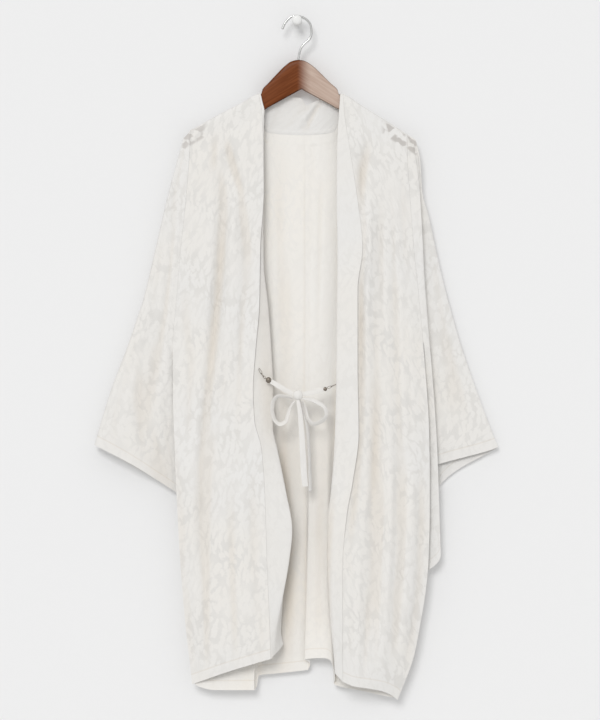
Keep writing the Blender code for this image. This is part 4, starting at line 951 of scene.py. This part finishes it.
PegRing = namedtuple("PegRing", "out radius")
PEG = rows(
    PegRing,
    (0, 7.5), (2.6, 7.5), (3.4, 7.2), (4.2, 6.2), (5.2, 5.3), (12, 5.2), (20, 5.2), (26, 5.3), (27.4, 6),
    (28.5, 7.3), (29.8, 8), (31, 8.2), (32.3, 8), (33.5, 7.2), (34.4, 5.8), (34.9, 3.8), (35, 1.8))
PEG_SIDES = 48


def peg(white):
    points = []
    for ring in PEG:
        for turn in turns(PEG_SIDES):
            points.append(point(ring.radius * math.cos(turn), ring.out, ring.radius * math.sin(turn)))
    faces = ring_faces(len(PEG), PEG_SIDES, turned=True)
    new_piece("painted_peg", points, faces, white, "wall_peg")


# Tie: on each side a chain and a bead with a ribbon, and the ribbons tied in a bow at the opening

# lean turns the ribbon from facing the viewer, 0, to edge-on, 90. long is its length in metres.
RibbonPoint = namedtuple("RibbonPoint", "x out drop lean wide")
Ribbon = namedtuple("Ribbon", "long steps course")
TIE_RIBBONS = {
    "tie_strap_right": Ribbon(0.042, 24, rows(
        RibbonPoint,
        (-42.4, 52.9, 596.7, 5, 7.6), (-30, 55, 604.4, 8, 7.8), (-18, 57, 611.6, 0, 7.8),
        (-6.8, 58, 617.5, 0, 7))),
    "tie_strap_left": Ribbon(0.034, 24, rows(
        RibbonPoint,
        (9.6, 58, 617.6, 0, 6.6), (20, 57.5, 616, 5, 7.6), (31, 56, 613.8, 8, 7.8),
        (43, 53.5, 610.4, 5, 7.2))),
    "tie_loop_right": Ribbon(0.120, 88, rows(
        RibbonPoint,
        (-5.6, 57.8, 624.4, 60, 5), (-18, 58, 621.5, 50, 7), (-30, 58.5, 621, 48, 8),
        (-38.5, 59, 628.5, 46, 8), (-40.5, 59, 642, 46, 8), (-37.5, 59, 658, 46, 8),
        (-28, 58.5, 667, 43, 8), (-18.5, 58, 662, 46, 8), (-14, 57.5, 648, 50, 8),
        (-9.5, 57.5, 636, 62, 7), (-3.6, 57.8, 628, 60, 5))),
    "tie_loop_left": Ribbon(0.125, 88, rows(
        RibbonPoint,
        (8.5, 57.8, 624.2, 60, 5), (23, 58, 626.5, 43, 7), (36, 58.5, 632.5, 40, 8), (46, 59, 640, 46, 8),
        (48.5, 59, 651, 46, 8), (41, 59, 662, 44, 8), (28, 58.5, 666.6, 43, 8), (18, 58, 658, 46, 8),
        (14, 57.5, 644, 50, 8), (11.6, 57.5, 635, 62, 7), (9.2, 58.8, 628.6, 62, 4.4))),
    "tie_tail_right": Ribbon(0.142, 60, rows(
        RibbonPoint,
        (1.4, 58.6, 627.5, 8, 5), (4.5, 61, 645, 8, 7), (7.6, 61, 680, 4, 8.6), (9.8, 60.5, 720, 2, 9.4),
        (11.4, 60, 748, 4, 9.6), (13.6, 60, 769, 6, 9.2))),
    "tie_tail_left": Ribbon(0.153, 60, rows(
        RibbonPoint,
        (3.4, 56.2, 627.1, 20, 4), (6.2, 52.6, 634, 30, 5), (11, 50.8, 648, 45, 6.5),
        (17.6, 51.5, 676, 55, 7.6), (20.2, 51.5, 712, 58, 7.8), (21.4, 51.5, 746, 55, 7.8),
        (22, 51.5, 777, 50, 7.6))),
}
RIBBON_ACROSS = 8        # cells across it
RIBBON_CLOTH = 0.8       # two layers of cloth
RIBBON_CUP = 0.45        # how far its long edges lie back from its middle
RIBBON_REACH = 0.1       # rows of its course over which its direction is taken


def ribbon(name, size, cloth, start):
    last = len(size.course) - 1

    def place(at):
        return point(*(through(size.course, way, at) for way in ("x", "out", "drop")))
    grid = []
    for i in range(size.steps + 1):
        key = last * i / size.steps
        along = (place(min(key + RIBBON_REACH, last)) - place(max(key - RIBBON_REACH, 0))).normalized()
        wide = through(size.course, "wide", key)
        side = leaning(along, through(size.course, "lean", key)) * wide * MM / 2
        lift = side.cross(along).normalized()
        row = []
        for k in range(RIBBON_ACROSS + 1):
            share = 2 * k / RIBBON_ACROSS - 1
            row.append(place(key) + side * share + lift * (0.5 - share * share) * RIBBON_CUP * MM)
        grid.append(row)
    made = shell(name, grid, cloth, RIBBON_CLOTH, start=start)


BeadSize = namedtuple("BeadSize", "x out drop half_wide half_deep half_tall")
TIE_KNOT = BeadSize(1.6, 58, 619.2, 8.0, 5.2, 8.2)
TIE_BEADS = {"tie_bead_right": BeadSize(-46.9, 52.8, 594.5, 4.6, 3.6, 5.0),
             "tie_bead_left": BeadSize(46.4, 53.2, 609.2, 3.3, 2.9, 3.4)}
BEAD_RINGS = 28
BEAD_SIDES = 40
BEAD_FLAT = 0.1          # the share of a half turn that each flat end takes


def bead(name, size, finish, stands_for, dent):
    """A rounded bead: rings across from one side to the other, with small flat ends. dent(turn, around) is
    the share that the surface is pulled in."""
    points = []
    for ring in range(BEAD_RINGS + 1):
        turn = math.pi * (BEAD_FLAT + (1 - 2 * BEAD_FLAT) * ring / BEAD_RINGS)
        for around in turns(BEAD_SIDES):
            keep = 1.0 - dent(turn, around)
            points.append(point(size.x - size.half_wide * math.cos(turn),
                                size.out + size.half_deep * math.sin(turn) * math.cos(around) * keep,
                                size.drop + size.half_tall * math.sin(turn) * math.sin(around) * keep))
    return new_piece(name, points, ring_faces(BEAD_RINGS + 1, BEAD_SIDES), finish, stands_for)


def knot_creases(turn, around):
    """The knot is a turn of ribbon pulled tight: slanting creases, and a waist where the strap passes."""
    slant = turn * 1.9 + 0.8 * math.sin(around)
    crease = 0.11 * max(0.0, math.cos(slant * 3.0)) ** 3
    waist = 0.08 * math.exp(-((turn - 1.15) / 0.22) ** 2)
    return crease + waist


def bead_turns(turn, around):
    """Two turned grooves round a metal bead."""
    return 0.1 * (math.exp(-((turn - 0.95) / 0.09) ** 2) + math.exp(-((turn - 2.2) / 0.09) ** 2))


LinkPlace = namedtuple("LinkPlace", "start end lean")
TIE_LINKS = {
    "tie_link_right_1": LinkPlace((-51.3, 52.8, 591.6), (-55.9, 51.2, 588.0), 20),
    "tie_link_right_2": LinkPlace((-54.6, 51.7, 588.9), (-59.2, 49.4, 583.0), 110),
    "tie_link_right_3": LinkPlace((-57.9, 50.1, 584.6), (-62.4, 46.3, 575.6), 20),
    "tie_link_left_1": LinkPlace((49.9, 52.8, 607.7), (57.0, 50.2, 604.8), 20),
    "tie_link_left_2": LinkPlace((55.6, 50.8, 605.4), (64.2, 44.6, 601.8), 110),
}
LINK_WIRE = 0.7
LINK_WIDE = 3.4
LINK_STEPS = 40


def link(name, place, finish):
    """One long ring of a chain."""
    start = point(*place.start)
    end = point(*place.end)
    along = (end - start).normalized()
    side = leaning(along, place.lean)
    half = (end - start).length / 2
    path = []
    for turn in turns(LINK_STEPS):
        reach = along * half * math.cos(turn)
        path.append((start + end) / 2 + reach + side * LINK_WIDE * MM / 2 * math.sin(turn))
    tube("metal_" + name, path, lambda share: LINK_WIRE / 2, finish, name, 12, closed=True)


def tie(plain_cloth, dark_metal):
    knot_piece = bead("cloth_tie_knot", TIE_KNOT, plain_cloth, "tie_knot", knot_creases)
    for i, (name, size) in enumerate(TIE_RIBBONS.items()):
        ribbon(name, size, plain_cloth, (4.6 + 0.05 * i, 0.2))
    for name, size in TIE_BEADS.items():
        bead("metal_" + name, size, dark_metal, name, bead_turns)
    for name, place in TIE_LINKS.items():
        link(name, place, dark_metal)


# Materials

class Finish:
    """A material: its node tree, and short ways to add nodes and to feed its shader."""

    def __init__(self, name):
        self.material = bpy.data.materials.new(name)
        self.material.use_nodes = True
        self.tree = self.material.node_tree
        self.shader = self.tree.nodes["Principled BSDF"]

    def feed(self, socket, value):
        """Links an output to the socket, or gives it a value."""
        if isinstance(value, bpy.types.NodeSocket):
            self.tree.links.new(value, socket)
        elif socket.type == "RGBA":
            socket.default_value = (*value, 1.0)
        else:
            socket.default_value = value

    def set(self, name, value):
        self.feed(self.shader.inputs[name], value)

    def node(self, kind, settings=None, plugs=None):
        made = self.tree.nodes.new("ShaderNode" + kind)
        for key, value in (settings or {}).items():
            setattr(made, key, value)
        for key, value in (plugs or {}).items():
            self.feed(made.inputs[key], value)
        return made

    def maths(self, operation, a, b=0.5, clamp=False):
        return self.node("Math", {"operation": operation, "use_clamp": clamp}, {0: a, 1: b}).outputs[0]

    def times(self, a, b):
        return self.maths("MULTIPLY", a, b)

    def plus(self, a, b):
        return self.maths("ADD", a, b)

    def minus(self, a, b):
        return self.maths("SUBTRACT", a, b)

    def vector(self, operation, a, plugs):
        return self.node("VectorMath", {"operation": operation}, {0: a, **plugs}).outputs[0]

    def ramp(self, value, low, high, to_low=0.0, to_high=1.0):
        """A smooth step of a value."""
        plugs = {"Value": value, "From Min": low, "From Max": high, "To Min": to_low, "To Max": to_high}
        return self.node("MapRange", {"interpolation_type": "SMOOTHSTEP"}, plugs).outputs["Result"]

    def mix(self, share, a, b, way="MIX"):
        """Two colours, mixed or with b laid over a as a stain."""
        return self.node("Mix", {"data_type": "RGBA", "blend_type": way}, {0: share, 6: a, 7: b}).outputs[2]

    def speckle(self, place, scale, detail=2.0):
        plugs = {"Vector": place, "Scale": scale, "Detail": detail}
        return self.node("TexNoise", None, plugs).outputs["Fac"]

    def attribute(self, name):
        return self.node("Attribute", {"attribute_name": name}).outputs["Fac"]

    def geometry(self, name):
        return self.node("NewGeometry").outputs[name]

    def split(self, value):
        return self.node("SeparateXYZ", None, {0: value}).outputs

    def relief(self, height, strength, distance):
        plugs = {"Height": height, "Strength": strength, "Distance": distance}
        self.set("Normal", self.node("Bump", None, plugs).outputs["Normal"])


# The woven figure: long leaves in two directions, so many across and down a metre of cloth
LeafLayer = namedtuple("LeafLayer", "turn wide tall shift reach")
LEAF_LAYERS = [LeafLayer(0.36, 86.0, 38.0, 0.0, 0.35), LeafLayer(-0.30, 106.0, 46.0, 3.7, 0.32)]
LEAF_SOFT_IN = 0.10      # how soft a leaf's edge is, inwards and outwards
LEAF_SOFT_OUT = 0.13
THREADS = 628.0          # waves of the weave, a thread each 0.5 mm
CLUMPS = 0.66            # how much the figure comes and goes over the cloth
DRIFT = 0.035            # how far its leaves wander, metres
HEM_SHOWN = 0.45         # how much figure shows where the hem's cloth lies double
STITCH_SHADE = 0.22
WARM_LEAF = (1.015, 1.0, 0.975)
LEAF_COLOUR = (0.752, 0.742, 0.724)
GROUND_COLOUR = (0.682, 0.668, 0.642)
# The back's inside: the cloth's colours lightened, painted light that lifts the shade inside the garment
PAINTED_LIGHT_BACK_LEAF = (0.815, 0.797, 0.764)
PAINTED_LIGHT_BACK_GROUND = (0.790, 0.769, 0.733)
# The warm colour that painted shade in creases multiplies into the cloth
PAINTED_SHADE_TONE = (0.80, 0.71, 0.60)
# Noise scales are in cycles a metre. A range is where a mask starts to change and where it has changed.
DRIFT_SCALE = 17.0
RAGGED_SCALE = 260.0     # small notches in the leaves' edges
RAGGED_DEEP = 0.5
CLUMP_SCALE = 16.0
CLUMP_RANGE = (0.36, 0.62)
WARM_SCALE = 5.0
WARM_RANGE = (0.3, 0.7)
HEM_STEP = 0.001         # half the height over which the hem begins, metres
STITCH_RANGE = (0.0006, 0.0016)  # half the stitched line, and where it has faded out, metres
LEAF_ROUGH = 0.82
GROUND_ROUGH = 0.62
LEAF_RELIEF = 0.8        # heights of a leaf and of the threads, before the relief's strength
THREAD_RELIEF = 0.25


def leaves(look, place):
    """1 on a leaf and 0 on the ground, with ragged edges."""
    shapes = []
    ragged = look.times(look.minus(look.speckle(place, RAGGED_SCALE), 0.5), RAGGED_DEEP)
    for layer in LEAF_LAYERS:
        turned = look.node("Mapping", None, {
            "Vector": place, "Rotation": (0.0, 0.0, layer.turn),
            "Location": (layer.shift, layer.shift * 0.7, 0.0)}).outputs[0]
        scaled = look.node("Mapping", None, {
            "Vector": turned, "Scale": (layer.wide, layer.tall, 1.0)}).outputs[0]
        cells = look.node("TexVoronoi", {"voronoi_dimensions": "2D", "feature": "F1"},
                          {"Vector": scaled, "Scale": 1.0, "Randomness": 0.9}).outputs["Distance"]
        low = layer.reach - LEAF_SOFT_IN
        high = layer.reach + LEAF_SOFT_OUT
        shapes.append(look.ramp(look.plus(cells, ragged), low, high, 1.0, 0.0))
    return look.maths("MAXIMUM", *shapes)


def weave(look, place):
    """Warp and weft."""
    plugs = {"Vector": place, "Scale": THREADS}
    threads = [look.node("TexWave", {"bands_direction": way}, plugs).outputs["Fac"] for way in ("X", "Y")]
    return look.maths("MAXIMUM", *threads)


# Where the hanger's arms show through the thin ground of the cloth, from x outwards to end
WoodShow = namedtuple("WoodShow", "x drop slope end strength")
WOOD_SHOWS = {-1: WoodShow(146, 165.5, 0.57, 192, 0.5), 1: WoodShow(136, 160.5, 0.62, 200, 0.62)}
WOOD_THROUGH = (0.40, 0.37, 0.345)
# The soft edges of the wood that shows: upper and lower, metres, and at its two ends, millimetres
UPPER_EDGE = (0.0005, 0.003)
LOWER_EDGE = (0.022, 0.027)
FIRST_EDGE = 12
LAST_EDGE = 4
BARE_SCALE = 74.0        # patches of thin ground
BARE_RANGE = (0.44, 0.56)


def over_wood(look, position):
    """How much of the wood shows at a place on the cloth."""
    spot = look.split(position)
    arms = []
    for side, first in WOOD_SHOWS.items():
        run = look.times(spot["X"], side)
        slope = look.times(look.minus(run, first.x * MM), first.slope)
        below = look.minus(look.times(spot["Z"], -1.0), look.plus(slope, first.drop * MM))
        inside = look.times(look.ramp(below, *UPPER_EDGE), look.ramp(below, *LOWER_EDGE, 1.0, 0.0))
        inside = look.times(inside, look.ramp(run, first.x * MM, (first.x + FIRST_EDGE) * MM))
        inside = look.times(inside, look.ramp(run, (first.end - LAST_EDGE) * MM, first.end * MM, 1.0, 0.0))
        arms.append(look.times(inside, first.strength))
    bare = look.ramp(look.speckle(position, BARE_SCALE, 1.5), *BARE_RANGE)
    return look.times(look.maths("MAXIMUM", *arms), bare)


def woven(name, leaf, ground, figure, see_wood=False):
    """Cloth with a woven figure. figure is how far the ground differs from the leaves. see_wood darkens the
    thin ground where the cloth lies on the hanger's arms. Shade in creases is painted into the colour from
    the mesh's crease attribute."""
    look = Finish(name)
    flat = look.node("UVMap", {"uv_map": "cloth"}).outputs["UV"]
    plugs = {"Vector": flat, "Scale": DRIFT_SCALE, "Detail": 2.0}
    drift = look.node("TexNoise", None, plugs).outputs["Color"]
    drift = look.vector("SUBTRACT", drift, {1: (0.5, 0.5, 0.5)})
    drift = look.vector("SCALE", drift, {"Scale": DRIFT})
    leaf_share = leaves(look, look.vector("ADD", flat, {1: drift}))
    clumps = look.ramp(look.speckle(flat, CLUMP_SCALE, 3.0), *CLUMP_RANGE)
    shown = look.times(look.minus(1.0, leaf_share), look.plus(look.times(clumps, CLUMPS), 1 - CLUMPS))
    up_from_hem = look.attribute("to_hem")
    doubled = look.ramp(up_from_hem, HEM_DEEP - HEM_STEP, HEM_DEEP + HEM_STEP, HEM_SHOWN, 1.0)
    off_stitches = look.maths("ABSOLUTE", look.minus(up_from_hem, HEM_DEEP))
    stitched = look.ramp(off_stitches, *STITCH_RANGE, 1.0, 0.0)
    thin = look.maths("MULTIPLY", look.times(shown, doubled), figure, clamp=True)
    warmth = look.ramp(look.speckle(flat, WARM_SCALE), *WARM_RANGE)
    body = look.mix(warmth, leaf, tuple(c * k for c, k in zip(leaf, WARM_LEAF)))
    # Painted shade from the crease attribute, with the hem's stitched line darkened the same way
    crease = look.maths("ADD", look.attribute("crease"), look.times(stitched, STITCH_SHADE), clamp=True)
    colour = look.mix(crease, look.mix(thin, body, ground), PAINTED_SHADE_TONE, "MULTIPLY")
    if see_wood:
        colour = look.mix(over_wood(look, look.geometry("Position")), colour, WOOD_THROUGH)
    look.set("Base Color", colour)
    look.set("Roughness", look.ramp(thin, 0.0, 1.0, LEAF_ROUGH, GROUND_ROUGH))
    look.set("Sheen Weight", 0.12)
    look.set("Specular IOR Level", 0.3)
    height = look.plus(look.times(leaf_share, LEAF_RELIEF), look.times(weave(look, flat), THREAD_RELIEF))
    look.relief(look.minus(height, stitched), 0.35, 0.0003)
    return look.material


WOOD_DARK = (0.128, 0.033, 0.008), (0.180, 0.052, 0.015)
# The right arm: the wood's grain paler under a painted lacquer glare
WOOD_GLARED = (0.45, 0.330, 0.268), (0.53, 0.415, 0.345)
WOOD_RIM = (0.42, 0.36, 0.33)    # how far the wood's rounded edges, turned away from the front, are darkened
ARM_SLOPE = 0.62         # fall of the hanger's arms, which the grain follows
# Grain: how close it runs along and across the arms, and its streaks
GRAIN_ALONG = 9.0
GRAIN_ACROSS = 95.0
STREAK_RANGE = (0.35, 0.68)
ARM_CHANGE = (-0.001, 0.025)     # where the dark stain turns into the paler wood under painted glare, across, metres
RIM_RANGE = (0.45, 0.9)  # how squarely the wood faces the viewer, from rounded edge to flat face


def grained_wood():
    """Stained wood under lacquer, the grain along the arms. The viewer's right arm is paler from a painted
    lacquer glare, so the left arm is darker.
    """
    look = Finish("stained_wood")
    spot = look.split(look.geometry("Position"))
    arm = look.maths("ABSOLUTE", look.minus(spot["X"], HANGER_CENTRE * MM))
    along = look.times(arm, GRAIN_ALONG)
    across = look.times(look.plus(spot["Z"], look.times(arm, ARM_SLOPE)), GRAIN_ACROSS)
    laid = look.node("CombineXYZ", None, {"X": along, "Y": spot["Y"], "Z": across}).outputs[0]
    plugs = {"Vector": laid, "Scale": 3.0, "Detail": 6.0, "Distortion": 0.6}
    grain = look.node("TexNoise", None, plugs).outputs["Fac"]
    streak = look.ramp(grain, *STREAK_RANGE)
    # Painted glare: the viewer's right arm is paler
    glared_arm = look.ramp(spot["X"], *ARM_CHANGE)
    colour = look.mix(glared_arm, look.mix(streak, *WOOD_DARK), look.mix(streak, *WOOD_GLARED))
    squarely = look.maths("ABSOLUTE", look.split(look.geometry("Normal"))["Y"])
    rim = look.ramp(squarely, *RIM_RANGE, 1.0, 0.0)
    look.set("Base Color", look.mix(rim, colour, WOOD_RIM, "MULTIPLY"))
    look.set("Roughness", look.ramp(grain, 0.2, 0.8, 0.30, 0.42))
    look.set("Specular IOR Level", 0.08)
    look.set("Coat Weight", 0.06)
    look.set("Coat Roughness", 0.22)
    look.relief(grain, 0.12, 0.0003)
    return look.material


SCUFF_TONE = 0.82        # how bright the scuffs are, of the metal


def metal(name, colour, low, high, scale):
    """Metal with fine scuffs that change its gloss, from roughness low to high."""
    look = Finish(name)
    scuffs = look.speckle(look.geometry("Position"), scale, 5.0)
    dull = tuple(c * SCUFF_TONE for c in colour)
    look.set("Base Color", look.mix(look.ramp(scuffs, 0.4, 0.7), colour, dull))
    look.set("Roughness", look.ramp(scuffs, 0.3, 0.7, low, high))
    look.set("Metallic", 1.0)
    look.relief(scuffs, 0.05, 0.0002)
    return look.material


def paint():
    look = Finish("white_paint")
    skin = look.speckle(look.geometry("Position"), 420.0, 3.0)
    look.set("Base Color", look.mix(skin, (0.80, 0.80, 0.79), (0.74, 0.74, 0.725)))
    look.set("Roughness", look.ramp(skin, 0.3, 0.7, 0.34, 0.48))
    look.relief(skin, 0.1, 0.0003)
    return look.material


# The room

WALL_GREY = (0.80, 0.80, 0.80)
WALL_BEHIND = 0.0003     # the wall's distance behind the peg's back, metres
ROOM_HALF = 4.0
FLOOR_DROP = 1.46        # below the peg, metres
FLOOR_OUT = 8.0          # how far it reaches towards the viewer
WORLD_LIGHT = 0.735
SUN_LIGHT = 1.22
SUN_FROM = Vector((-0.24, -1.0, 0.52))
SUN_ANGLE = 24.0         # degrees, how soft the shadows are
CAMERA_AT = Vector((0.00495, -5.0, -0.5615))
PICTURE_TALL = 1.188     # metres of the garment's plane that the picture takes in
GARMENT_OUT = 0.035
SENSOR = 36.0


def plane(name, corners, finish):
    mesh = bpy.data.meshes.new(name)
    mesh.from_pydata(corners, [], [(0, 1, 2, 3)])
    mesh.materials.append(finish)
    made = bpy.data.objects.new(name, mesh)
    bpy.context.scene.collection.objects.link(made)
    return made


def room_corners(low):
    """A rectangle as wide as the room, from low up to the room's half width."""
    return [(-ROOM_HALF, low), (ROOM_HALF, low), (ROOM_HALF, ROOM_HALF), (-ROOM_HALF, ROOM_HALF)]


def room():
    """A pale wall behind the peg, seen only from its front, and a pale floor. The studio's light reaches
    the garment's back through the wall."""
    look = Finish("pale_wall")
    look.set("Base Color", WALL_GREY)
    look.set("Roughness", 1.0)
    look.set("Specular IOR Level", 0.0)
    clear = look.node("BsdfTransparent").outputs[0]
    plugs = {0: look.geometry("Backfacing"), 1: look.shader.outputs[0], 2: clear}
    both = look.node("MixShader", None, plugs)
    look.tree.links.new(both.outputs[0], look.tree.nodes["Material Output"].inputs["Surface"])
    wall = plane("wall", [(x, WALL_BEHIND, z) for x, z in room_corners(-FLOOR_DROP)], look.material)
    wall.visible_diffuse = False
    wall.visible_shadow = False
    look = Finish("pale_floor")
    look.set("Base Color", WALL_GREY)
    look.set("Roughness", 0.9)
    plane("floor", [(x, y, -FLOOR_DROP) for x, y in room_corners(-FLOOR_OUT)], look.material)


def lights_and_camera():
    scene = bpy.context.scene
    scene.world = bpy.data.worlds.new("studio")
    scene.world.use_nodes = True
    background = scene.world.node_tree.nodes["Background"]
    background.inputs["Color"].default_value = (1.0, 1.0, 1.0, 1.0)
    background.inputs["Strength"].default_value = WORLD_LIGHT
    sun = bpy.data.objects.new("key", bpy.data.lights.new("key", "SUN"))
    sun.data.energy = SUN_LIGHT
    sun.data.angle = math.radians(SUN_ANGLE)
    sun.rotation_euler = SUN_FROM.to_track_quat("Z", "Y").to_euler()
    scene.collection.objects.link(sun)
    camera = bpy.data.objects.new("camera", bpy.data.cameras.new("camera"))
    camera.data.sensor_width = SENSOR
    camera.data.lens = SENSOR * (-CAMERA_AT.y - GARMENT_OUT) / PICTURE_TALL
    camera.location = CAMERA_AT
    camera.rotation_euler = (math.pi / 2, 0.0, 0.0)
    scene.collection.objects.link(camera)
    scene.camera = camera
    scene.view_settings.view_transform = "Standard"


def main():
    cloth = woven("figured_cloth", LEAF_COLOUR, GROUND_COLOUR, 0.9, see_wood=True)
    plain = woven("collar_cloth", LEAF_COLOUR, GROUND_COLOUR, 0.35)
    front_panels(cloth)
    # The back's inside is a lightened copy of the cloth: painted light
    neck = back_panels(woven("back_cloth_painted_light", PAINTED_LIGHT_BACK_LEAF, PAINTED_LIGHT_BACK_GROUND, 0.8), cloth)
    collar_bands(plain)
    collar_back(neck, plain)
    sleeves(cloth)
    tie(plain, metal("dark_metal", (0.25, 0.215, 0.18), 0.26, 0.48, 900.0))
    hanger(grained_wood())
    hook(metal("polished_steel", (0.62, 0.62, 0.61), 0.16, 0.34, 500.0))
    peg(paint())
    room()
    lights_and_camera()


main()
